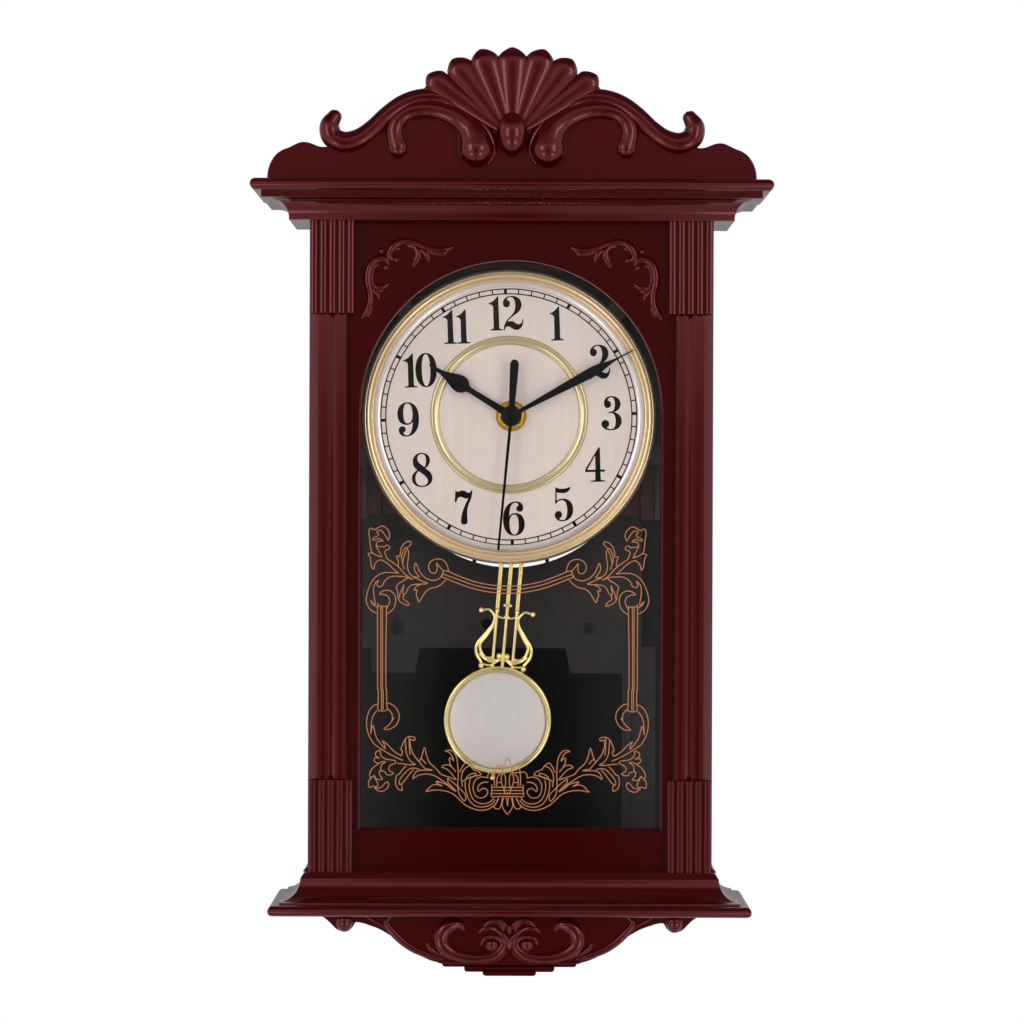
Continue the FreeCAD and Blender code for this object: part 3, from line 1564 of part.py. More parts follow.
def pendulum_rods():
    """Three flat rods on the plate that hangs from the lever's spigot."""
    y0 = -rod_front_depth
    y1 = y0 + rod_thickness
    plate = strip(hanging_plate_width / 2, 0, hanging_plate_top, hanging_plate_bottom, y0, y1)
    rods = [
        strip(rod_half_width, side * rod_spacing, hanging_plate_bottom, end, y0, y1)
        for side, end in ((-1, outer_rod_end), (0, middle_rod_end), (1, outer_rod_end))
    ]
    hole = disc(rod_line_out, pivot_z - spigot_drop, spigot_radius + running_gap, y0 - overrun, y1 + overrun)
    return tilted(fuse([plate] + rods).cut(hole))


# Lyre outline, as shares of its reach sideways and of its height, downwards
outer_rail_shares = [
    (0.84, 0.0), (0.65, 0.013), (0.503, 0.077), (0.43, 0.157), (0.463, 0.263), (0.617, 0.383),
    (0.779, 0.497), (0.933, 0.6), (1.0, 0.71), (0.953, 0.83), (0.812, 0.927), (0.75, 0.99),
]
inner_rail_shares = [
    (0.46, 0.3), (0.664, 0.483), (0.819, 0.593), (0.859, 0.673), (0.819, 0.763), (0.698, 0.843),
    (0.577, 0.873), (0.43, 0.863),
]
crescent_shares = [(0.859, 0.813), (0.651, 0.873), (0.443, 0.91), (0.275, 0.913), (0.12, 0.88)]
crescent_width_shares = (0.02, 0.05, 0.06, 0.05, 0.03)
festoon_shares = [(0.32, 0.11), (0.15, 0.147), (0.05, 0.11), (0.02, 0.0)]
foot_rail_shares = [(0.74, 0.98), (0.55, 1.0), (0.38, 0.99), (0.22, 0.93), (0.03, 0.88)]


def lyre():
    """Openwork lyre between the rods and the bob."""
    y1 = -rod_front_depth
    y0 = y1 - lyre_thickness
    z0 = pivot_z - lyre_top

    def rail(shares, widths):
        return stroke(scaled(shares, lyre_reach, -lyre_height, 0, z0), widths, y0, y1)

    side = [
        rail(outer_rail_shares, [rail_width] * len(outer_rail_shares)),
        rail(inner_rail_shares, [rail_width] * len(inner_rail_shares)),
        rail(crescent_shares, [share * lyre_height for share in crescent_width_shares]),
        rail(festoon_shares, [rail_width * thin_rail_share] * len(festoon_shares)),
        rail(foot_rail_shares, [rail_width * thin_rail_share] * len(foot_rail_shares)),
    ]
    middle = (y0 + y1) / 2
    side += [
        ball_at(horn_ball_out, horn_ball_drop, ball_radius, middle),
        ball_at(foot_ball_out, foot_ball_drop, ball_radius, middle),
        ball_at(curl_out, curl_drop, curl_radius, middle),
        ball_at(nub_out, foot_ball_drop - nub_radius, nub_radius, middle),
        ball_at(rod_spacing, finial_drop, finial_radius, middle),
        knob_at(twin_knob_out, twin_knob_drop, middle),
        strip_at(rod_spacing, lower_rod_half_width, lower_rod_top, lower_rod_bottom, y0, y1),
    ]
    pieces = side + [mirrored(piece) for piece in side]
    pieces += [
        strip_at(0, lower_rod_half_width, curl_drop, lower_rod_bottom, y0, y1),
        strip_at(0, post_half_width, post_top, bob_drop - bob_ring_radius + sink, y0, y1),
    ]
    reach = 2 * lyre_height
    behind = box(-reach, reach, y1, y1 + reach, z0 - reach, z0 + reach)
    whole = cut(fuse(pieces), [behind, bob_seat(0)])
    whole.translate(Vector(rod_line_out, 0, 0))
    return tilted(whole)


def ball_at(x, s, radius, y):
    return Part.makeSphere(radius, Vector(x, y, pivot_z - s))


def knob_at(x, s, y):
    """An upright oval knob: a short bar with round ends."""
    low = Vector(x, y, pivot_z - s - twin_knob_height / 2)
    ends = [Part.makeSphere(twin_knob_radius, low + UP * level) for level in (0, twin_knob_height)]
    return fuse([Part.makeCylinder(twin_knob_radius, twin_knob_height, low, UP)] + ends)


def strip_at(x, half_width, s0, s1, y0, y1):
    return box(x - half_width, x + half_width, y0, y1, pivot_z - s1, pivot_z - s0)


def bob_seat(x):
    """The round that the bob's ring fills."""
    return disc(x, pivot_z - bob_drop, bob_ring_radius, -bob_ring_front_depth - overrun, split)


# Front of the bob's ring: outwards and back from its crown, as shares of its width
bob_ring_shares = [(0.0, 0.33), (0.33, 0.17), (0.67, 0.0), (1.0, 0.33)]


def bob_ring():
    """Gilt ring round the bob, with the rating knob below it."""
    x, z = down(0, bob_drop)
    outer, inner = bob_ring_radius, bob_ring_radius - bob_ring_width
    front = -bob_ring_front_depth
    back = front + bob_ring_thickness
    profile = [(inner + across * bob_ring_width, front + drop * bob_ring_width)
               for across, drop in bob_ring_shares]
    profile += [(outer, back), (inner, back)]
    knob_z = z - outer - rating_neck - rating_knob_radius
    middle = (front + back) / 2
    neck = Part.makeCylinder(rating_knob_radius / 2, rating_neck + rating_knob_radius + sink,
                             Vector(x, middle, knob_z), UP)
    knob = Part.makeSphere(rating_knob_radius, Vector(x, middle, knob_z))
    return tilted(fuse([turned(profile, x, z), neck, knob]))


def bob_disc():
    """Slightly domed disc inside the ring."""
    x, z = down(0, bob_drop)
    radius = bob_ring_radius - bob_ring_width - drop_in_gap
    back = -bob_ring_front_depth + bob_ring_thickness
    face = back - bob_disc_thickness
    return tilted(dome(x, z, radius, bob_disc_dome, face, back))


# Back


def back_cover():
    """Board that closes the back, with a round opening behind the movement."""
    low, high = case_bottom + case_wall + seat_gap, rail_bottom - seat_gap
    half = inner_half - seat_gap
    board = box(-half, half, cover_front, cover_back, low, high)
    tools = [disc(0, access_z, access_radius, cover_front - overrun, cover_back + overrun)]
    tools += [screw_hole(x, z, cover_front - overrun, cover_back + overrun)
              for x, z in ledge_places() + plate_screw_places()]
    board = cut(board, tools)
    tabs = []
    for side in (-1, 1):
        x = side * access_tab_out
        foot = access_z - math.sqrt(access_radius**2 - access_tab_out**2)
        tabs.append(box(x - access_tab_width / 2, x + access_tab_width / 2, cover_front, cover_back,
                        foot - access_tab_width, foot + access_tab_height))
    return fuse([board] + tabs)


def back_screws():
    return Part.makeCompound([screw(x, z, cover_back) for x, z in ledge_places()])


def plate_screw_places():
    """Where the inner plate is screwed to the cover."""
    return [
        (x, axis_z - drop)
        for x in (-plate_screw_left, plate_screw_right)
        for drop in (plate_screw_top, plate_screw_bottom)
    ]


def inner_plate():
    """Dark plate behind the pendulum, cut away round the movement, with two tabs below."""
    y0, y1 = cover_front - plate_thickness, cover_front
    top, bottom = axis_z - plate_top_below_axis, axis_z - plate_bottom_below_axis
    r = plate_corner
    body = fuse([
        box(-plate_left, plate_right - r, y0, y1, bottom, top),
        box(plate_right - r - sink, plate_right, y0, y1, bottom, top - r),
        disc(plate_right - r, top - r, r, y0, y1),
    ])
    tabs = []
    for far, near in ((-tab_left_far, -tab_left_near), (tab_right_far, tab_right_near)):
        low = bottom - tab_drop
        taper = math.copysign(tab_taper, near - far)
        outline = [(far, bottom + sink), (near, bottom + sink), (near - taper, low), (far, low)]
        tabs.append(polygon(outline, y0, y1))
    before, past = y0 - overrun, y1 + overrun
    tools = [disc(0, access_z, access_radius, before, past)]
    tools += [screw_hole(x, z, before, past) for x, z in plate_screw_places()]
    tools.append(disc(-plate_hole_left, axis_z - plate_hole_drop, plate_hole_radius, before, past))
    return cut(fuse([body] + tabs), tools)


def plate_screws():
    seat = cover_front - plate_thickness
    bite = plate_thickness + cover_thickness
    return Part.makeCompound([
        screw(x, z, seat, plate_screw_head, bite, facing_front=True) for x, z in plate_screw_places()
    ])


def nodes():
    """Every piece of the clock, by name."""
    shaft = pilaster()
    capital = reeded_block(soffit - capital_height, soffit)
    plinth = reeded_block(base_top, base_top + plinth_height)
    scroll = corner_scroll()
    return {
        "case_body": case_body(),
        "cornice": cornice(),
        "crest": crest(),
        "base_moulding": base_moulding(),
        "apron": apron(),
        "pilaster_right": shaft,
        "pilaster_left": mirrored(shaft),
        "capital_right": capital,
        "capital_left": mirrored(capital),
        "plinth_right": plinth,
        "plinth_left": mirrored(plinth),
        "corner_scroll_right": scroll,
        "corner_scroll_left": mirrored(scroll),
        "window_glass": window_glass(),
        "glass_clips": glass_clips(),
        "dial_pan": dial_pan(),
        "dial_screws": dial_screws(),
        "dial_plate": dial_plate(),
        "dial_bezel": dial_bezel(),
        "chapter_ring": chapter_ring(),
        "hour_hand": hour_hand(),
        "minute_hand": minute_hand(),
        "second_hand": second_hand(),
        "hand_washer": hand_washer(),
        "hand_nut": hand_nut(),
        "movement_front_case": movement_front_case(),
        "movement_back_case": movement_back_case(),
        "movement_screws": movement_screws(),
        "hour_wheel": hour_wheel(),
        "minute_wheel": minute_wheel(),
        "setting_knob": setting_knob(),
        "centre_wheel": centre_wheel(),
        "third_wheel": third_wheel(),
        "seconds_wheel": seconds_wheel(),
        "intermediate_wheel": intermediate_wheel(),
        "rotor": rotor(),
        "stator": stator(),
        "motor_coil": motor_coil(),
        "circuit_board": circuit_board(),
        "quartz_crystal": quartz_crystal(),
        "battery": battery(),
        "battery_contact_plus": battery_contact(1),
        "battery_contact_minus": battery_contact(-1),
        "drive_coil": drive_coil(),
        "pivot_pin": pivot_pin(),
        "pendulum_lever": pendulum_lever(),
        "lever_magnet": lever_magnet(),
        "pendulum_rods": pendulum_rods(),
        "lyre": lyre(),
        "bob_ring": bob_ring(),
        "bob_disc": bob_disc(),
        "back_cover": back_cover(),
        "back_screws": back_screws(),
        "inner_plate": inner_plate(),
        "plate_screws": plate_screws(),
        "hanger_plate": hanger_plate(),
        "hanger_screws": hanger_screws(),
    }


def main():
    os.makedirs("parts", exist_ok=True)
    for name, shape in nodes().items():
        solids = len(shape.Solids)
        state = "valid" if shape.isValid() and solids else "NOT VALID"
        print(f"{name}: {solids} solid(s), {shape.Volume:.1f} mm3, {state}")
        shape.exportStep(f"parts/{name}.step")


if __name__ == "__main__":
    main()
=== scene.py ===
"""The looks of the pendulum wall clock: its finishes, carving, print, dial and studio."""

import json
import logging
import re
from collections.abc import Iterator
from contextlib import contextmanager
from dataclasses import dataclass, field
from enum import Enum
from math import cos, dist, pi, radians, sin

import bmesh
import bpy
from bpy.types import Curve, ID, Material, Mesh, Node, NodeOutputs, NodeSocket, NodeTree, Object
from mathutils import Euler, Matrix, Vector

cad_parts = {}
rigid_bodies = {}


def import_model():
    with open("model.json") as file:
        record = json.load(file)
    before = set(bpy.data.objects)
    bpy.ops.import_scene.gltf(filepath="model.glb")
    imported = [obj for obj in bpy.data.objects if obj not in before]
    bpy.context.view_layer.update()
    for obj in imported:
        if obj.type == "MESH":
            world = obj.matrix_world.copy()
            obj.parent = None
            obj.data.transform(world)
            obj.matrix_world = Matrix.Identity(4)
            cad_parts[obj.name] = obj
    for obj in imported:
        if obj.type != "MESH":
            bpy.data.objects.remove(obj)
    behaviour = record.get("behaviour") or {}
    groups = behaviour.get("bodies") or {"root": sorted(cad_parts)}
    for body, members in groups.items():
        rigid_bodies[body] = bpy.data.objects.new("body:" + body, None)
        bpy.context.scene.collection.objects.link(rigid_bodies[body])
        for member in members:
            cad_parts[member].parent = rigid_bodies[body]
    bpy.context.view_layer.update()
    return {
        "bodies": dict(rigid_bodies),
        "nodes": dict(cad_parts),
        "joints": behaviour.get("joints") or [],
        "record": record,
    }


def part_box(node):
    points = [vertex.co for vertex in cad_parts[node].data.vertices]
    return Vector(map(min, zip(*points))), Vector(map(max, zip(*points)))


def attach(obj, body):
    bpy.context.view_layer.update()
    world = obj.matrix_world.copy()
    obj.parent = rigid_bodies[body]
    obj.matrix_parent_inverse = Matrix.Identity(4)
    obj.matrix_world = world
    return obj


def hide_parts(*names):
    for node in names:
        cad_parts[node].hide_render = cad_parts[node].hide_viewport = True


log = logging.getLogger("wall_clock")

MM = 0.001
Point = tuple[float, float]
Rgb = tuple[int, int, int]
Place = tuple[float, float, float]
Cut = tuple[str, str, float, float]


class Body(Enum):
    """The moving bodies that a piece can ride on."""

    CLOCK = "clock"
    SECONDS = "seconds"
    CENTRE = "centre"
    HOUR = "hour"
    PENDULUM = "pendulum"


class Slot(Enum):
    """The record's material slots, handed on with the new pieces."""

    CASE = "case_finish"
    BLACK = "black_plastic"
    DIAL = "dial_enamel"
    BRASS = "polished_brass"
    HAND = "hand_black"
    COPPER = "copper"
    SILVER = "satin_silver"


# Node graphs


def linear(colour: Rgb) -> tuple[float, ...]:
    """Turns a screen colour into the linear one that a shader takes.

    Args:
        colour: Red, green and blue from 0 to 255.

    Returns:
        The linear colour with full alpha.
    """
    parts = [c / 255 for c in colour]
    parts = [c / 12.92 if c <= 0.04045 else ((c + 0.055) / 1.055) ** 2.4 for c in parts]
    return (parts[0], parts[1], parts[2], 1.0)


class Graph:
    """Adds and wires the nodes of one tree."""

    def __init__(self, tree: NodeTree) -> None:
        """Keeps the tree and empties it."""
        self.tree = tree
        tree.nodes.clear()

    def add(self, kind: str, feeds: dict | None = None, **settings: object) -> Node:
        """Adds a node.

        Args:
            kind: The node's type name.
            feeds: A socket or a plain value for each input, by name or number.
            settings: Properties of the node itself.

        Returns:
            The new node.
        """
        node = self.tree.nodes.new(kind)
        for name, value in settings.items():
            setattr(node, name, value)
        for name, value in (feeds or {}).items():
            self.feed(node.inputs[name], value)
        return node

    def out(self, kind: str, feeds: dict | None = None,
            **settings: object) -> NodeSocket:
        """Adds a node and gives its first output."""
        return self.add(kind, feeds, **settings).outputs[0]

    def feed(self, socket: NodeSocket, value: object) -> None:
        """Links a socket into an input, or sets its plain value."""
        if isinstance(value, NodeSocket):
            self.tree.links.new(value, socket)
        else:
            socket.default_value = value

    def maths(self, operation: str, *values: object) -> NodeSocket:
        """Puts values through one Math node and returns its output."""
        return self.out("ShaderNodeMath", dict(enumerate(values)), operation=operation)

    def blend(self, factor: object, first: object, second: object) -> NodeSocket:
        """Mixes two colours.

        Args:
            factor: How much of the second colour shows.
            first: The colour at factor 0.
            second: The colour at factor 1.

        Returns:
            The mixed colour's socket.
        """
        return self.add("ShaderNodeMix", {0: factor, 6: first, 7: second},
                        data_type="RGBA").outputs[2]

    def spread(self, value: object, low: float, high: float, to_low: float = 0.0,
               to_high: float = 1.0) -> NodeSocket:
        """Maps a value from one range to another, held at both ends."""
        return self.out("ShaderNodeMapRange",
                        {0: value, 1: low, 2: high, 3: to_low, 4: to_high}, clamp=True)

    def place(self, stretch: object = (1.0, 1.0, 1.0)) -> NodeSocket:
        """The place on the object, stretched along each axis."""
        place = self.add("ShaderNodeTexCoord").outputs["Object"]
        return self.out("ShaderNodeVectorMath", {0: place, 1: stretch}, operation="MULTIPLY")

    def noise(self, place: object, scale: object, detail: float,
              roughness: float = 0.5) -> NodeSocket:
        """Adds a noise texture and returns its value."""
        return self.out("ShaderNodeTexNoise", {"Vector": place, "Scale": scale, "Detail": detail,
                                               "Roughness": roughness})

    def bump(self, height: object, strength: float, distance: float) -> NodeSocket:
        """Turns a height into a normal."""
        return self.out("ShaderNodeBump", {"Strength": strength, "Distance": distance,
                                           "Height": height})

    def group(self, tree: NodeTree, feeds: dict) -> NodeOutputs:
        """Puts in a shared group and returns its outputs."""
        return self.add("ShaderNodeGroup", feeds, node_tree=tree).outputs


def open_sockets(tree: NodeTree, takes: dict[str, str], gives: dict[str, str]) -> None:
    """Gives a tree its inputs and outputs.

    Args:
        tree: The tree.
        takes: Type of each input, by name.
        gives: Type of each output, by name.
    """
    for way, sockets in (("INPUT", takes), ("OUTPUT", gives)):
        for label, kind in sockets.items():
            tree.interface.new_socket(label, in_out=way, socket_type=f"NodeSocket{kind}")


def placed(name: str, data: ID) -> Object:
    """Puts a new object with its data into the scene."""
    thing = bpy.data.objects.new(name, data)
    bpy.context.scene.collection.objects.link(thing)
    return thing


class Effects:
    """The node groups that several finishes share."""

    # Colour of the lighter film on what faces up: settled dust, with a painted sheen on the tops of
    # ledges.
    DUST = (0.5, 0.48, 0.46, 1.0)

    def __init__(self) -> None:
        """Builds each group once."""
        self.mottle = self.build_mottle()
        self.wear = self.build_wear()
        self.dust = self.build_dust()
        self.grain = self.build_grain()

    @staticmethod
    def new_group(name: str, takes: dict[str, str],
                  gives: dict[str, str]) -> tuple[Graph, NodeOutputs]:
        """Starts a shader group.

        Args:
            name: The group's name.
            takes: Type of each input, by name.
            gives: Type of each output, by name.

        Returns:
            The graph and the sockets that carry what it is given.
        """
        tree = bpy.data.node_groups.new(name, "ShaderNodeTree")
        open_sockets(tree, takes, gives)
        graph = Graph(tree)
        return graph, graph.add("NodeGroupInput").outputs

    @staticmethod
    def masked(graph: Graph, given: NodeOutputs, mask: NodeSocket,
               other: object) -> NodeTree:
        """Ends a group in its colour, under another one where a mask lets that show.

        Args:
            graph: The group's graph.
            given: What the group is given.
            mask: Where the other colour shows.
            other: That colour.

        Returns:
            The group's tree.
        """
        mask = graph.maths("MULTIPLY", mask, given["Amount"])
        tint = graph.blend(mask, given["Color"], other)
        graph.add("NodeGroupOutput", {"Color": tint, "Mask": mask})
        return graph.tree

    def build_mottle(self) -> NodeTree:
        """Slow and fine changes of a moulded colour, with the height of its skin."""
        graph, given = self.new_group(
            "skin mottle",
            {"Color": "Color", "Deep Color": "Color", "Amount": "Float", "Scale": "Float",
             "Stretch": "Vector"},
            {"Color": "Color", "Shine": "Float", "Height": "Float"})
        place = graph.place(given["Stretch"])
        slow = graph.noise(place, given["Scale"], 4.0, 0.55)
        fine = graph.noise(place, graph.maths("MULTIPLY", given["Scale"], 22.0), 2.0)
        factor = graph.maths("MULTIPLY", graph.spread(slow, 0.3, 0.7), given["Amount"])
        tint = graph.blend(factor, given["Color"], given["Deep Color"])
        graph.add("NodeGroupOutput", {"Color": tint, "Shine": slow, "Height": fine})
        return graph.tree

    def build_wear(self) -> NodeTree:
        """Lighter edges where a surface turns a corner, in patches: partly rubbed wear, partly a
        painted highlight on the rounded edges.
        """
        graph, given = self.new_group(
            "rubbed and highlighted edges",
            {"Color": "Color", "Edge Color": "Color", "Amount": "Float", "Width": "Float"},
            {"Color": "Color", "Mask": "Float"})
        turn = graph.add("ShaderNodeBevel", {"Radius": given["Width"]}, samples=4).outputs[0]
        flat = graph.add("ShaderNodeNewGeometry").outputs["Normal"]
        along = graph.add("ShaderNodeVectorMath", {0: turn, 1: flat},
                          operation="DOT_PRODUCT").outputs["Value"]
        chips = graph.spread(graph.noise(graph.place(), 160.0, 3.0), 0.3, 0.6, 0.45)
        mask = graph.maths("MULTIPLY", graph.spread(along, 0.985, 0.85), chips)
        return self.masked(graph, given, mask, given["Edge Color"])

    def build_dust(self) -> NodeTree:
        """A thin lighter film on what faces up: settled dust, and a painted sheen standing in for
        light on the tops of ledges.
        """
        graph, given = self.new_group("dusting and top sheen", {"Color": "Color", "Amount": "Float"},
                                      {"Color": "Color", "Mask": "Float"})
        normal = graph.add("ShaderNodeNewGeometry").outputs["Normal"]
        up = graph.add("ShaderNodeSeparateXYZ", {0: normal}).outputs["Z"]
        patch = graph.spread(graph.noise(graph.place(), 55.0, 5.0, 0.65), 0.35, 0.7, 0.3)
        mask = graph.maths("MULTIPLY", graph.spread(up, 0.45, 1.0), patch)
        return self.masked(graph, given, mask, self.DUST)

    def build_grain(self) -> NodeTree:
        """Fine parallel lines of a brushed or rolled metal."""
        graph, given = self.new_group(
            "brushed lines",
            {"Color": "Color", "Line Color": "Color", "Amount": "Float", "Scale": "Float",
             "Along": "Vector"},
            {"Color": "Color", "Shine": "Float", "Height": "Float"})
        place = graph.place(given["Along"])
        lines = graph.noise(place, given["Scale"], 3.0, 0.6)
        cloud = graph.noise(place, graph.maths("MULTIPLY", given["Scale"], 0.06), 2.0)
        both = graph.maths("MULTIPLY", lines, graph.spread(cloud, 0.3, 0.7, 0.6, 1.3))
        factor = graph.maths("MULTIPLY", graph.spread(both, 0.3, 0.75), given["Amount"])
        tint = graph.blend(factor, given["Color"], given["Line Color"])
        graph.add("NodeGroupOutput", {"Color": tint, "Shine": both, "Height": lines})
        return graph.tree


# Finishes


def new_material(name: str) -> tuple[Material, Graph]:
    """Starts a material and gives it with the graph of its empty tree."""
    material = bpy.data.materials.new(name)
    material.use_nodes = True
    return material, Graph(material.node_tree)


@dataclass(frozen=True)
class Moulded:
    """A moulded or painted skin.

    The roughness runs between its two values with the mottle, and the edges take the lighter edge
    colour, which is partly wear and partly a painted highlight.
    """

    name: str
    colour: Rgb
    deep: Rgb
    edge: Rgb
    mottle: float = 0.35
    mottle_scale: float = 30.0
    stretch: Place = (1.0, 1.0, 1.0)
    roughness: Point = (0.3, 0.42)
    specular: float = 0.5
    skin: float = 0.02
    wear: float = 0.25
    wear_width: float = 0.0005
    dust: float = 0.06
    dulling: float = 0.8
    tint: Rgb = (255, 255, 255)

    def material(self, effects: Effects) -> Material:
        """Builds the material from the shared effects."""
        material, graph = new_material(self.name)
        mottle = graph.group(effects.mottle, {
            "Color": linear(self.colour), "Deep Color": linear(self.deep), "Amount": self.mottle,
            "Scale": self.mottle_scale, "Stretch": self.stretch})
        # Lighter edges: partly rubbed wear, partly a painted highlight on the rounded edges.
        wear = graph.group(effects.wear, {
            "Color": mottle["Color"], "Edge Color": linear(self.edge), "Amount": self.wear,
            "Width": self.wear_width})
        # Lighter film on up-facing surfaces: dust, and a painted sheen on ledge tops.
        dust = graph.group(effects.dust, {"Color": wear["Color"], "Amount": self.dust})
        shine = graph.spread(mottle["Shine"], 0.3, 0.7, *self.roughness)
        shine = graph.maths("ADD", shine, graph.maths("MULTIPLY", dust["Mask"], self.dulling))
        shader = graph.add("ShaderNodeBsdfPrincipled", {
            "Base Color": dust["Color"], "Roughness": shine,
            "Normal": graph.bump(mottle["Height"], self.skin, 0.0005),
            "Specular IOR Level": self.specular, "Specular Tint": linear(self.tint)})
        graph.add("ShaderNodeOutputMaterial", {"Surface": shader.outputs[0]})
        return material


@dataclass(frozen=True)
class Metal:
    """A metal, brushed along one direction, or nearly plain where it is polished."""

    name: str
    colour: Rgb
    line: Rgb
    lines: float = 0.3
    scale: float = 900.0
    along: Place = (1.0, 1.0, 0.03)
    roughness: Point = (0.15, 0.3)
    metallic: float = 1.0
    bump: float = 0.05
    dust: float = 0.03

    def material(self, effects: Effects) -> Material:
        """Builds the material from the shared effects."""
        material, graph = new_material(self.name)
        grain = graph.group(effects.grain, {
            "Color": linear(self.colour), "Line Color": linear(self.line), "Amount": self.lines,
            "Scale": self.scale, "Along": self.along})
        # Lighter film on up-facing surfaces: dust, and a painted sheen on tops.
        dust = graph.group(effects.dust, {"Color": grain["Color"], "Amount": self.dust})
        shader = graph.add("ShaderNodeBsdfPrincipled", {
            "Base Color": dust["Color"], "Metallic": self.metallic,
            "Roughness": graph.spread(grain["Shine"], 0.25, 0.75, *self.roughness),
            "Normal": graph.bump(grain["Height"], self.bump, 0.0002)})
        graph.add("ShaderNodeOutputMaterial", {"Surface": shader.outputs[0]})
        return material


@dataclass(frozen=True)
class Pane:
    """Clear glass that lets the lamps through to what is behind it."""

    name: str
    tints: tuple[Rgb, Rgb] = ((255, 255, 255), (250, 252, 251))
    reflect: float = 1.45

    def material(self, _: Effects) -> Material:
        """Builds glass with faint smears, which only bend its shine."""
        material, graph = new_material(self.name)
        smear = graph.noise(graph.place(), 9.0, 2.0)
        tint = graph.blend(graph.spread(smear, 0.3, 0.7), *map(linear, self.tints))
        shader = graph.add("ShaderNodeBsdfPrincipled", {
            "Base Color": tint, "Roughness": 0.0, "IOR": self.reflect, "Transmission Weight": 1.0,
            "Normal": graph.bump(smear, 0.02, 0.0002)})
        clear = graph.add("ShaderNodeBsdfTransparent")
        shadow = graph.add("ShaderNodeLightPath").outputs["Is Shadow Ray"]
        either = graph.add("ShaderNodeMixShader", {0: shadow, 1: shader.outputs[0],
                                                   2: clear.outputs[0]})
        graph.add("ShaderNodeOutputMaterial", {"Surface": either.outputs[0]})
        return material


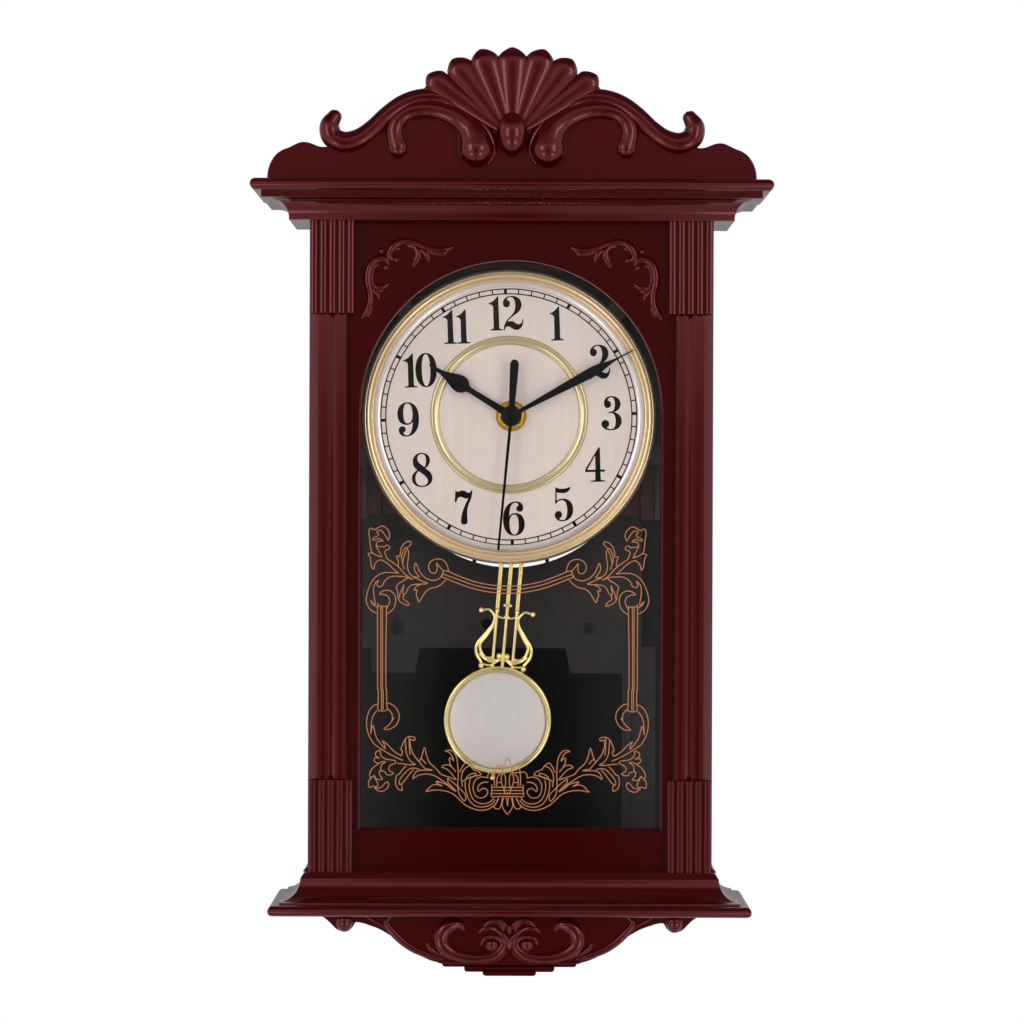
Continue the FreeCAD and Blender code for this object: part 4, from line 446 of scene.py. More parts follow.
class Palette:
    """Every finish of the clock, built once and handed out by name."""

    FINISHES: tuple[Moulded | Metal | Pane, ...] = (
        Moulded("mahogany moulding", (82, 3, 8), (70, 2, 5), (108, 16, 22), mottle=0.6,
                mottle_scale=26.0, stretch=(1.0, 1.0, 0.35), roughness=(0.12, 0.16), specular=0.8,
                skin=0.012, dust=0.025, tint=(255, 160, 164)),
        # A darker copy of the mahogany moulding for the front panel: painted shade for the panel
        # recessed between the pilasters and under the cornice.
        Moulded("mahogany panel shaded", (72, 2, 5), (61, 1, 3), (104, 20, 24), mottle=0.6,
                mottle_scale=22.0, stretch=(1.0, 1.0, 0.35), roughness=(0.12, 0.16), specular=0.6,
                skin=0.012, wear=0.3, dust=0.02, tint=(255, 160, 164)),
        Moulded("mahogany inside", (84, 40, 42), (70, 32, 34), (104, 56, 58), mottle=0.5,
                roughness=(0.4, 0.55), specular=0.3, skin=0.03, wear=0.1, dust=0.0),
        # Painted highlight: light brown for the lit rounded edge of the arch.
        Moulded("arch edge", (150, 104, 84), (124, 78, 62), (168, 124, 104), mottle=0.6,
                mottle_scale=60.0, roughness=(0.25, 0.35), wear=0.2, dust=0.0),
        Moulded("black movement plastic", (26, 26, 27), (17, 17, 18), (62, 62, 64),
                roughness=(0.42, 0.6), skin=0.03, mottle_scale=60.0),
        Moulded("dark backing plate", (52, 48, 49), (46, 42, 43), (78, 74, 72), mottle=0.6,
                mottle_scale=12.0, roughness=(0.4, 0.5), specular=0.12, skin=0.01, wear=0.15,
                dust=0.0),
        Moulded("black back board", (13, 12, 12), (9, 8, 8), (34, 32, 31), mottle=0.6,
                mottle_scale=12.0, roughness=(0.45, 0.55), specular=0.1, skin=0.002, wear=0.12,
                dust=0.0),
        Moulded("hand black", (12, 12, 12), (7, 7, 7), (44, 44, 46), mottle=0.4,
                mottle_scale=120.0, specular=0.1, skin=0.03, wear=0.06, dust=0.0),
        Moulded("dial print", (14, 12, 13), (20, 17, 17), (14, 12, 13), mottle=0.5,
                mottle_scale=90.0, roughness=(0.5, 0.62), specular=0.1, wear=0.0, dust=0.0),
        Moulded("glass print", (238, 164, 112), (224, 144, 92), (238, 164, 112), mottle=0.6,
                mottle_scale=160.0, roughness=(0.45, 0.6), wear=0.0, dust=0.0),
        Moulded("gear plastic", (232, 230, 222), (214, 210, 200), (246, 245, 240), mottle=0.3,
                mottle_scale=80.0, roughness=(0.35, 0.5), skin=0.03, wear=0.2),
        Moulded("board green", (28, 78, 44), (20, 60, 34), (60, 110, 74), mottle_scale=90.0,
                roughness=(0.35, 0.5), skin=0.1),
        Moulded("battery wrap", (176, 132, 52), (150, 108, 38), (196, 160, 90), mottle_scale=70.0,
                roughness=(0.25, 0.35), skin=0.02),
        Metal("dial silver", (223, 209, 202), (209, 195, 187), lines=0.5, scale=420.0,
              along=(1.0, 1.0, 0.02), roughness=(0.42, 0.55), metallic=0.12, bump=0.012, dust=0.0),
        Metal("bezel gold", (244, 218, 176), (237, 209, 166), lines=0.05, scale=60.0,
              along=(0.3, 0.3, 0.3), roughness=(0.19, 0.21), metallic=0.75, bump=0.0, dust=0.0),
        Metal("bezel lining", (222, 211, 205), (208, 197, 190), lines=0.05, scale=60.0,
              along=(0.3, 0.3, 0.3), roughness=(0.2, 0.24), metallic=0.5, bump=0.0, dust=0.0),
        Metal("chapter gold", (206, 190, 150), (196, 179, 138), lines=0.05, scale=60.0,
              along=(0.4, 0.4, 0.4), roughness=(0.18, 0.22), metallic=0.65, bump=0.0, dust=0.0),
        Metal("polished brass", (252, 234, 166), (238, 216, 144), lines=0.15, scale=80.0,
              along=(1.0, 1.0, 0.1), roughness=(0.11, 0.14), metallic=0.9, bump=0.0),
        Metal("nut brass", (226, 182, 84), (204, 156, 62), lines=0.3, scale=80.0,
              along=(1.0, 1.0, 0.2), roughness=(0.2, 0.26), metallic=0.85, bump=0.0),
        Metal("satin silver", (206, 201, 198), (190, 184, 181), lines=0.4, scale=300.0,
              along=(1.0, 1.0, 1.0), roughness=(0.46, 0.56), metallic=0.35, bump=0.01),
        Metal("zinc steel", (186, 186, 182), (138, 138, 136), lines=0.5, scale=500.0,
              along=(1.0, 1.0, 0.15), roughness=(0.28, 0.45), bump=0.04),
        Metal("black screw steel", (22, 24, 24), (14, 15, 15), lines=0.4, scale=500.0,
              along=(1.0, 1.0, 0.3), roughness=(0.25, 0.35), metallic=0.4, bump=0.02),
        Metal("magnet metal", (120, 120, 124), (84, 84, 88), roughness=(0.3, 0.45)),
        Metal("wound copper", (190, 104, 66), (130, 62, 36), lines=0.7, scale=700.0,
              along=(0.03, 1.0, 1.0), roughness=(0.25, 0.4), bump=0.3),
        Pane("window glass"),
    )

    def __init__(self) -> None:
        """Builds the effects and then every finish on them."""
        effects = Effects()
        self.materials = {finish.name: finish.material(effects) for finish in self.FINISHES}

    def __getitem__(self, name: str) -> Material:
        """Hands out a finish by name."""
        return self.materials[name]


# Tracing the photograph


def rows(text: str, size: int = 2) -> list[tuple[float, ...]]:
    """Reads numbers with spaces between them into groups.

    Args:
        text: The numbers.
        size: How many make a group.

    Returns:
        The groups in order.
    """
    return list(zip(*[iter([float(number) for number in text.split()])] * size))


@dataclass(frozen=True)
class Tracing:
    """Turns points read off an enlarged part of the photograph into places on the clock.

    Attributes:
        left: Photo column at the enlargement's left edge.
        top: Photo row at its top edge.
        zoom: Enlargement.
        depth: Depth in mm of the face that carries the points.
    """

    left: float
    top: float
    zoom: float
    depth: float

    FOCAL = 3186.0
    STAND_OFF = 1730.0
    EYE_LEVEL = -145.0
    EYE_ROW = 510.0
    MIDDLE_COLUMN = 512.5
    TOP_ROW = 48
    DRIFT = 3.2 / 927

    @property
    def scale(self) -> float:
        """Photo pixels to the millimetre at this depth."""
        return self.FOCAL / (self.STAND_OFF + self.depth)

    def at(self, x: float, y: float) -> Point:
        """The place of one point, beside the middle plane and above the hanging hole, in mm."""
        column, row = self.left + x / self.zoom, self.top + y / self.zoom
        middle = self.MIDDLE_COLUMN - self.DRIFT * (row - self.TOP_ROW)
        return (column - middle) / self.scale, (self.EYE_ROW - row) / self.scale + self.EYE_LEVEL

    def line(self, points: list[Point]) -> list[Point]:
        """The places of a run of points."""
        return [self.at(x, y) for x, y in points]


# Geometry Nodes


class Recipe:
    """One Geometry Nodes tree with named inputs that can be run on a mesh."""

    def __init__(self, name: str, takes: dict[str, str]) -> None:
        """Starts the tree.

        Args:
            name: The tree's name.
            takes: Type of each input besides geometry and material, by name.
        """
        self.tree = bpy.data.node_groups.new(name, "GeometryNodeTree")
        open_sockets(self.tree, {"Geometry": "Geometry", "Material": "Material", **takes},
                     {"Geometry": "Geometry"})
        self.graph = Graph(self.tree)
        self.given = self.graph.add("NodeGroupInput").outputs

    def close(self, geometry: NodeSocket) -> None:
        """Ends the tree in real geometry that carries the chosen material."""
        real = self.graph.out("GeometryNodeRealizeInstances", {0: geometry})
        dressed = self.graph.out("GeometryNodeSetMaterial",
                                 {"Geometry": real, "Material": self.given["Material"]})
        self.graph.add("NodeGroupOutput", {0: dressed})

    def run(self, host: Object, inputs: dict[str, object]) -> Mesh:
        """Runs the tree on a host object and gives the plain mesh that it makes.

        Args:
            host: The object that holds the starting mesh. It is removed.
            inputs: Value of each named input.

        Returns:
            The new mesh.
        """
        modifier = host.modifiers.new(self.tree.name, "NODES")
        modifier.node_group = self.tree
        for item in self.tree.interface.items_tree:
            if item.item_type == "SOCKET" and item.in_out == "INPUT" and item.name in inputs:
                modifier[item.identifier] = inputs[item.name]
        graph = bpy.context.evaluated_depsgraph_get()
        mesh = bpy.data.meshes.new_from_object(host.evaluated_get(graph))
        host.modifiers.remove(modifier)
        bpy.data.objects.remove(host)
        return mesh


class Recipes:
    """The trees that make what follows a line or repeats."""

    def __init__(self) -> None:
        """Builds each tree once."""
        self.stems = self.build_stems()
        self.marks = self.build_marks()
        self.row = self.build_row()

    @staticmethod
    def build_stems() -> Recipe:
        """Rounded stems along smooth lines: each point carries its half width, depth and rise."""
        recipe = Recipe("carved stems", {"Spacing": "Float", "Sides": "Int"})
        graph, given, out = recipe.graph, recipe.given, recipe.graph.out
        curve = out("GeometryNodeMeshToCurve", {0: given["Geometry"]})
        curve = out("GeometryNodeCurveSplineType", {0: curve}, spline_type="CATMULL_ROM")
        width, rise, depth = [
            out("GeometryNodeInputNamedAttribute", {"Name": name}, data_type="FLOAT")
            for name in ("half_width", "rise", "axis_depth")]
        curve = out("GeometryNodeSetCurveRadius", {"Curve": curve, "Radius": width})
        curve = out("GeometryNodeResampleCurve", {"Curve": curve, "Length": given["Spacing"]},
                    mode="LENGTH")
        ring = out("GeometryNodeCurvePrimitiveCircle",
                   {"Radius": 1.0, "Resolution": given["Sides"]})
        tube = out("GeometryNodeCurveToMesh", {
            "Curve": curve, "Scale": out("GeometryNodeInputRadius"), "Profile Curve": ring,
            "Fill Caps": True})
        place = graph.add("ShaderNodeSeparateXYZ", {0: out("GeometryNodeInputPosition")}).outputs
        pressed = graph.maths("MULTIPLY_ADD", graph.maths("SUBTRACT", place["Y"], depth), rise,
                              depth)
        there = out("ShaderNodeCombineXYZ", {"X": place["X"], "Y": pressed, "Z": place["Z"]})
        shaped = out("GeometryNodeSetPosition", {"Geometry": tube, "Position": there})
        recipe.close(out("GeometryNodeSetShadeSmooth", {0: shaped}))
        return recipe

    @staticmethod
    def build_marks() -> Recipe:
        """Copies of the host's mesh set round a circle, turned with it."""
        recipe = Recipe("marks round a circle", {"Count": "Int", "Radius": "Float",
                                                 "Centre": "Vector", "First Angle": "Float"})
        graph, given, out = recipe.graph, recipe.given, recipe.graph.out
        step = graph.maths("DIVIDE", 2 * pi, given["Count"])
        angle = graph.maths("MULTIPLY_ADD", out("GeometryNodeInputIndex"), step,
                            given["First Angle"])
        across, above = [graph.maths("MULTIPLY", graph.maths(wave, angle), given["Radius"])
                         for wave in ("SINE", "COSINE")]
        spot = out("ShaderNodeCombineXYZ", {"X": across, "Z": above})
        place = out("ShaderNodeVectorMath", {0: spot, 1: given["Centre"]}, operation="ADD")
        points = out("GeometryNodeMeshLine", {"Count": given["Count"], "Offset": (0, 0, 0)},
                     mode="OFFSET")
        points = out("GeometryNodeSetPosition", {"Geometry": points, "Position": place})
        recipe.close(out("GeometryNodeInstanceOnPoints", {
            "Points": points, "Instance": given["Geometry"],
            "Rotation": out("ShaderNodeCombineXYZ", {"Y": angle})}))
        return recipe

    @staticmethod
    def build_row() -> Recipe:
        """Copies of the host's mesh in a straight row."""
        recipe = Recipe("pieces in a row", {"Count": "Int", "Step": "Vector"})
        given, out = recipe.given, recipe.graph.out
        line = out("GeometryNodeMeshLine", {"Count": given["Count"], "Offset": given["Step"]},
                   mode="OFFSET")
        recipe.close(out("GeometryNodeInstanceOnPoints", {"Points": line,
                                                          "Instance": given["Geometry"]}))
        return recipe


# Mesh building


@contextmanager
def opened(mesh: Mesh) -> Iterator[bmesh.types.BMesh]:
    """Opens a mesh for editing and writes it back."""
    inside = bmesh.new()
    inside.from_mesh(mesh)
    yield inside
    inside.to_mesh(mesh)
    inside.free()


def rounded(mesh: bmesh.types.BMesh, width: float, angle: float, segments: int = 3,
            slide: bool = False) -> None:
    """Rounds the sharp edges of an opened mesh.

    Args:
        mesh: The mesh.
        width: Width of the rounding in mm.
        angle: Edges that turn more than this many degrees are rounded.
        segments: Faces across a rounding.
        slide: Whether corners slide along their edges.
    """
    sharp = radians(angle)
    edges = [e for e in mesh.edges if e.is_manifold and e.calc_face_angle(0.0) > sharp]
    bmesh.ops.bevel(mesh, geom=edges, offset=width * MM, segments=segments, profile=0.5,
                    affect="EDGES", clamp_overlap=True, loop_slide=slide)


def round_over(mesh: Mesh, width: float = 0.7) -> None:
    """Rounds a plate's edges."""
    with opened(mesh) as inside:
        rounded(inside, width, 40)


@dataclass
class Draft:
    """A mesh in the making, in millimetres in the clock's frame."""

    verts: list[Place] = field(default_factory=list)
    faces: list[tuple[int, ...]] = field(default_factory=list)

    def add(self, verts: list[Place], faces: list[tuple[int, ...]]) -> None:
        """Adds a shell."""
        start = len(self.verts)
        self.verts += verts
        self.faces += [tuple(start + i for i in face) for face in faces]

    def carried(self, verts: list[Place]) -> None:
        """Adds a solid from the corners of one end, followed by those of the other."""
        n = len(verts) // 2
        faces = [tuple(range(n)), tuple(range(2 * n - 1, n - 1, -1))]
        faces += [(i, i + n, (i + 1) % n + n, (i + 1) % n) for i in range(n)]
        self.add(verts, faces)

    def prism(self, outline: list[Point], y0: float, y1: float) -> None:
        """Adds an outline drawn in the front plane and carried back from y0 to y1."""
        self.carried([(x, y, z) for y in (y0, y1) for x, z in outline])

    def column(self, outline: list[Point], z0: float, z1: float) -> None:
        """Adds an outline drawn in plan, (x, y), and carried up from z0 to z1."""
        self.carried([(x, y, z) for z in (z0, z1) for x, y in outline])

    def turned(self, profile: list[Point], x: float, z: float, steps: int = 160,
               closed: bool = True) -> None:
        """Adds a shape of revolution about the Y axis through (x, z).

        Args:
            profile: (radius, y) points. A radius of 0 at an end closes the shape at a pole.
            x: Axis position sideways.
            z: Axis height.
            steps: Divisions round the axis.
            closed: Whether the last point joins the first.
        """
        verts: list[Place] = []
        rings: list[list[int]] = []
        for radius, y in profile:
            if radius <= 1e-6:
                rings.append([len(verts)] * steps)
                verts.append((x, y, z))
                continue
            rings.append(list(range(len(verts), len(verts) + steps)))
            for i in range(steps):
                angle = 2 * pi * i / steps
                verts.append((x + radius * cos(angle), y, z + radius * sin(angle)))
        faces = []
        pairs = list(zip(rings, rings[1:])) + ([(rings[-1], rings[0])] if closed else [])
        for low, high in pairs:
            for i in range(steps):
                j = (i + 1) % steps
                face = list(dict.fromkeys((low[i], low[j], high[j], high[i])))
                if len(face) > 2:
                    faces.append(tuple(face))
        self.add(verts, faces)

    def ball(self, centre: Place, radii: Place, steps: int = 28) -> None:
        """Adds an oval ball.

        Args:
            centre: Its middle.
            radii: Half its size along each axis.
            steps: Divisions round it.
        """
        (x, y, z), (rx, ry, rz) = centre, radii
        verts = [(x, y, z + rz)]
        levels = steps // 2
        for i in range(1, levels):
            tilt = pi * i / levels
            for j in range(steps):
                angle = 2 * pi * j / steps
                verts.append((x + rx * sin(tilt) * cos(angle),
                              y + ry * sin(tilt) * sin(angle), z + rz * cos(tilt)))
        last = len(verts)
        verts.append((x, y, z - rz))
        faces: list[tuple[int, ...]] = []
        for j in range(steps):
            k = (j + 1) % steps
            faces.append((0, 1 + j, 1 + k))
            for i in range(levels - 2):
                low, high = 1 + i * steps, 1 + (i + 1) * steps
                faces.append((low + j, high + j, high + k, low + k))
            low = 1 + (levels - 2) * steps
            faces.append((last, low + k, low + j))
        self.add(verts, faces)

    def mesh(self, name: str) -> Mesh:
        """Makes the mesh in metres with its doubles merged and faces outwards."""
        mesh = bpy.data.meshes.new(name)
        mesh.from_pydata([tuple(c * MM for c in v) for v in self.verts], [], self.faces)
        with opened(mesh) as inside:
            bmesh.ops.remove_doubles(inside, verts=inside.verts, dist=1e-7)
            bmesh.ops.recalc_face_normals(inside, faces=inside.faces)
        return mesh


def polar(radius: float, angle: float) -> Point:
    """The point at a distance and an angle in degrees."""
    return radius * cos(radians(angle)), radius * sin(radians(angle))


@dataclass(frozen=True)
class Stem:
    """One stem of carving or one drawn line.

    Attributes:
        path: (x, z, half width) points in mm.
        depth: Depth of its axis.
        rise: How deep its section is for its width.
        lean: How much further back its last point lies than its first.
    """

    path: list[Place]
    depth: float
    rise: float
    lean: float = 0.0

    def twin(self) -> "Stem":
        """The same stem on the other side of the middle plane."""
        return Stem([(-x, z, w) for x, z, w in self.path], self.depth, self.rise, self.lean)


def flowing(points: list[Point], steps: int = 5) -> list[Point]:
    """Runs a smooth line through open points.

    Args:
        points: The points.
        steps: How many pieces each span becomes.

    Returns:
        The points of the smooth line.
    """
    padded = [points[0], *points, points[-1]]
    out = []
    for a, b, c, d in zip(padded, padded[1:], padded[2:], padded[3:]):
        for i in range(steps):
            t = i / steps
            weights = (-t + 2 * t * t - t ** 3, 2 - 5 * t * t + 3 * t ** 3,
                       t + 4 * t * t - 3 * t ** 3, -t * t + t ** 3)
            out.append(tuple(sum(w * p[k] for w, p in zip(weights, (a, b, c, d))) / 2
                             for k in (0, 1)))
    return out + [points[-1]]


def tip(end: Place, before: Place) -> list[Place]:
    """The half round in which a stem runs out.

    Args:
        end: The stem's last point with its half width.
        before: The point before it.

    Returns:
        The points past the end.
    """
    way = Vector((end[0] - before[0], end[1] - before[1])).normalized()
    out = []
    for angle in (25, 50, 70, 84, 90):
        reach = end[2] * sin(radians(angle))
        out.append((end[0] + way.x * reach, end[1] + way.y * reach,
                    max(end[2] * cos(radians(angle)), 0.01)))
    return out


def stem(points: list[Point], widths: list[float], depth: float, rise: float) -> Stem:
    """Makes a stem from points and half widths, with rounded ends.

    Args:
        points: (x, z) points in mm.
        widths: Half widths, spread evenly along the points.
        depth: Depth of the axis.
        rise: How deep the section is for its width.

    Returns:
        The stem, run out in a half round at both ends.
    """
    path = []
    last = len(points) - 1
    for i, (x, z) in enumerate(points):
        spot = i / last * (len(widths) - 1)
        j = min(int(spot), len(widths) - 2) if len(widths) > 1 else 0
        w = widths[j] + (widths[min(j + 1, len(widths) - 1)] - widths[j]) * (spot - j)
        path.append((x, z, w))

    head = list(reversed(tip(path[0], path[1])))
    return Stem(head + path + tip(path[-1], path[-2]), depth, rise)


def carving(trace: Tracing, cuts: tuple[Cut, ...], depth: float, bold: float = 1.0) -> list[Stem]:
    """Makes the stems of a traced carving.

    Args:
        trace: The enlargement that they were traced on.
        cuts: Points, half widths in mm, how far it stands proud and rise of each stem.
        depth: Depth of the axes.
        bold: How many times as wide as traced they are.

    Returns:
        The stems.
    """
    return [stem(trace.line(rows(points)), [float(width) * bold for width in widths.split()],
                 depth - proud, rise)
            for points, widths, proud, rise in cuts]


class Workshop:
    """Holds the frame, finishes and recipes, and turns drafts into pieces.

    Attributes:
        FLAT: Area in square mm above which a face with many sides keeps sharp edges.
    """

    FLAT = 60.0

    def __init__(self, frame: dict) -> None:
        """Keeps the frame and builds what all sub-assemblies share."""
        self.frame = frame
        self.palette = Palette()
        self.recipes = Recipes()

    def piece(self, mesh: Mesh, name: str, finish: str, body: Body, slot: Slot,
              replaces: tuple[str, ...] = (), smooth: float | None = 35.0) -> Object:
        """Places a finished mesh as a piece of the clock.

        Args:
            mesh: Its mesh in metres.
            name: Its name.
            finish: The name of its finish.
            body: The body it rides.
            slot: The record's slot for its finish; not used.
            replaces: CAD nodes that it stands for.
            smooth: Edge angle in degrees above which shading stays sharp, or None for flat.

        Returns:
            The object.
        """
        mesh.name = name
        mesh.materials.clear()
        mesh.materials.append(self.palette[finish])
        if smooth is not None:
            mesh.shade_smooth()
            mesh.set_sharp_from_angle(angle=radians(smooth))
            for face in mesh.polygons:
                if face.loop_total > 4 and face.area > self.FLAT * MM * MM:
                    for loop in face.loop_indices:
                        mesh.edges[mesh.loops[loop].edge_index].use_edge_sharp = True
        thing = placed(name, mesh)
        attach(thing, body.value)
        if replaces:
            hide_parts(*replaces)
        log.info("%s: %d faces on %s", name, len(mesh.polygons), body.value)
        return thing

    def carve(self, mesh: Mesh, name: str, node: str, smooth: float) -> None:
        """Places a piece of mahogany moulding that stands for one node of the case."""
        self.piece(mesh, name, "mahogany moulding", Body.CLOCK, Slot.CASE, (node,), smooth)

    def dress(self, node: str, finish: str) -> None:
        """Gives a CAD node that stays its finish."""
        thing = self.frame["nodes"][node]
        if not thing.material_slots:
            thing.data.materials.append(self.palette[finish])
        for slot in thing.material_slots:
            slot.material = self.palette[finish]

    def softened(self, node: str, width: float, segments: int = 3,
                 angle: float = 28.0) -> Mesh:
        """A copy of a CAD node's mesh with its doubles merged and its edges rounded.

        Args:
            node: The CAD node.
            width: Width of the rounding in mm.
            segments: Faces across a rounding.
            angle: Edges that turn more than this many degrees are rounded.

        Returns:
            The new mesh.
        """
        mesh = self.frame["nodes"][node].data.copy()
        with opened(mesh) as inside:
            bmesh.ops.remove_doubles(inside, verts=inside.verts, dist=2e-6)
            bmesh.ops.dissolve_limit(inside, angle_limit=radians(0.6), verts=inside.verts,
                                     edges=inside.edges)
            rounded(inside, width, angle, segments, True)
        return mesh

    def stems(self, stems: list[Stem], finish: str, spacing: float = 0.8,
              sides: int = 14) -> Mesh:
        """Runs the stem recipe.

        Args:
            stems: The stems.
            finish: The name of their finish.
            spacing: Distance between sections in mm.
            sides: Faces round a section.

        Returns:
            One mesh with every stem.
        """
        verts, edges, widths, depths, rises = [], [], [], [], []
        for one in stems:
            for i, (x, z, w) in enumerate(one.path):
                if i:
                    edges.append((len(verts) - 1, len(verts)))
                depth = one.depth + one.lean * i / (len(one.path) - 1)
                verts.append((x * MM, depth * MM, z * MM))
                widths.append(w * MM)
                depths.append(depth * MM)
                rises.append(one.rise)
        mesh = bpy.data.meshes.new("stem lines")
        mesh.from_pydata(verts, edges, [])
        for label, values in (("half_width", widths), ("axis_depth", depths), ("rise", rises)):
            mesh.attributes.new(label, "FLOAT", "POINT").data.foreach_set("value", values)
        return self.recipes.stems.run(placed("stem lines", mesh), {
            "Spacing": spacing * MM, "Sides": sides, "Material": self.palette[finish]})

    def repeat(self, recipe: Recipe, mesh: Mesh, finish: str,
               inputs: dict[str, object]) -> Mesh:
        """Runs a repeating recipe on one mesh."""
        return recipe.run(placed("repeated", mesh), {**inputs, "Material": self.palette[finish]})


def joined(name: str, meshes: list[Mesh]) -> Mesh:
    """Puts several meshes into one."""
    whole = bmesh.new()
    for mesh in meshes:
        whole.from_mesh(mesh)
    result = bpy.data.meshes.new(name)
    whole.to_mesh(result)
    whole.free()
    for mesh in meshes:
        bpy.data.meshes.remove(mesh)
    return result


# Sub-assemblies


def both(stems: list[Stem]) -> list[Stem]:
    """The stems of one side with their twins of the other."""
    return stems + [one.twin() for one in stems]


@dataclass
class Case:
    """The moulded case with its pilasters, blocks, cornice and base.

    Attributes:
        boards: From and to beside the middle, and the step forward, of each grooved board.
        board_span: From and to in height of the boards.
        rail: From and to, and the step forward, of each strip of the rail beside the pendulum.
        rail_span: From and to in height of the rail.
    """

    block_face: float = -58.0
    panel_face: float = -50.0
    reeds: int = 5
    reed_gap: float = 1.0
    reed_base: float = 2.0
    reed_foot: float = 3.2
    reed_proud: float = 1.7
    reed_flank: float = 0.45
    reed_share: float = 0.98
    reed_steps: int = 12
    rounding: float = 0.45
    sharp: float = 40.0
    base_drop: float = 1.2
    plinth_gap: float = 0.2
    arch_lift: float = 2.3
    arch_radius: float = 79.25
    boards: tuple[Place, ...] = ((58.0, 69.6, 0.0), (70.2, 77.2, 0.5), (77.8, 86.0, 1.0))
    board_span: Point = (-150.0, -60.0)
    rail: tuple[Place, ...] = ((60.6, 65.2, 0.0), (65.6, 78.4, 0.6))
    rail_span: Point = (-319.0, -218.6)
    strip_gap: float = 0.1
    strip_proud: float = 1.4

    def build(self, shop: Workshop) -> None:
        """Builds and dresses every piece of the case."""
        self.arch_edge(shop)
        self.liners(shop)
        for node in ("case_body", "cornice", "base_moulding", "pilaster_left", "pilaster_right"):
            mesh = shop.softened(node, self.rounding)
            if node == "base_moulding":
                mesh.transform(Matrix.Translation((0.0, 0.0, -self.base_drop * MM)))
            # The front panel takes the darker copy of the mahogany, a painted shade.
            finish = "mahogany panel shaded" if node == "case_body" else "mahogany moulding"
            shop.piece(mesh, f"{node}_finished", finish, Body.CLOCK, Slot.CASE, (node,), self.sharp)
        for node in ("capital_left", "capital_right", "plinth_left", "plinth_right"):
            shop.carve(self.block(shop, node), f"{node}_reeded", node, self.sharp)

    def arch_edge(self, shop: Workshop) -> None:
        """A light brown strip round the arch of the window: a painted highlight along its rounded
        edge.
        """
        z = Dial.axis + self.arch_lift
        points = [(x, z + up) for x, up in (polar(self.arch_radius, a) for a in range(0, 182, 4))]
        edge = stem(points, [0.05, 0.24, 0.28, 0.28, 0.24, 0.05], self.panel_face + 0.1, 1.0)
        shop.piece(shop.stems([edge], "arch edge", 0.8, 10), "arch_edge", "arch edge", Body.CLOCK,
                   Slot.CASE)

    def strips(self, strips: tuple[Place, ...], sides: tuple[int, ...], span: Point) -> Draft:
        """Upright strips just in front of the back.

        Args:
            strips: From and to beside the middle, and the step forward, of each.
            sides: The sides on which they stand, -1 for the left.
            span: From and to in height.

        Returns:
            The draft with the strips.
        """
        low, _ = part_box("back_cover")
        face = low.y / MM
        draft = Draft()
        for side in sides:
            for start, end, step in strips:
                x0, x1 = sorted((side * start, side * end))
                back, front = face - self.strip_gap, face - self.strip_proud - step
                draft.column([(x0, back), (x0, front), (x1, front), (x1, back)], *span)
        return draft

    def liners(self, shop: Workshop) -> None:
        """The grooved boards on both sides of the dial and the rail beside the pendulum."""
        mesh = self.strips(self.boards, (-1, 1), self.board_span).mesh("liners")
        round_over(mesh, 0.2)
        shop.piece(mesh, "liner_boards", "mahogany inside", Body.CLOCK, Slot.CASE)
        mesh = self.strips(self.rail, (1,), self.rail_span).mesh("side rail")
        shop.piece(mesh, "side_rail", "dark backing plate", Body.CLOCK, Slot.BLACK)

    def block(self, shop: Workshop, node: str) -> Mesh:
        """A block with rounded upright reeds.

        Args:
            shop: The workshop.
            node: The CAD node of the block.

        Returns:
            The body with a row of one reed.
        """
        low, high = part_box(node)
        x0, x1, z0, z1 = low.x / MM, high.x / MM, low.z / MM, high.z / MM
        if node.startswith("plinth"):
            z0 -= self.base_drop + self.plinth_gap
        pitch = (x1 - x0 + self.reed_gap) / self.reeds
        half = (pitch - self.reed_gap) / 2
        outline = [(-half, self.block_face + self.reed_foot)]
        for i in range(self.reed_steps + 1):
            angle = pi * (1 - i / self.reed_steps)
            proud = self.reed_proud * sin(angle) ** self.reed_flank
            outline.append((half * cos(angle) * self.reed_share,
                            self.block_face + self.reed_proud - proud))
        outline.append((half, self.block_face + self.reed_foot))
        reed = Draft()
        reed.column([(x + x0 + half, y) for x, y in outline], z0, z1)
        row = shop.repeat(shop.recipes.row, reed.mesh("reed"), "mahogany moulding",
                          {"Count": self.reeds, "Step": (pitch * MM, 0.0, 0.0)})
        front, back = self.block_face + self.reed_base, self.panel_face
        body = Draft()
        body.column([(x0, front), (x1, front), (x1, back), (x0, back)], z0, z1)
        return joined(node, [row, body.mesh("block")])


def flat_back(mesh: Mesh, back: float) -> None:
    """Draws what stands out behind a plate back to just inside it.

    Args:
        mesh: The mesh.
        back: Depth of the plate's back in mm.
    """
    for vert in mesh.vertices:
        if vert.co.y > (back + 0.01) * MM:
            vert.co.y = (back - 0.15) * MM


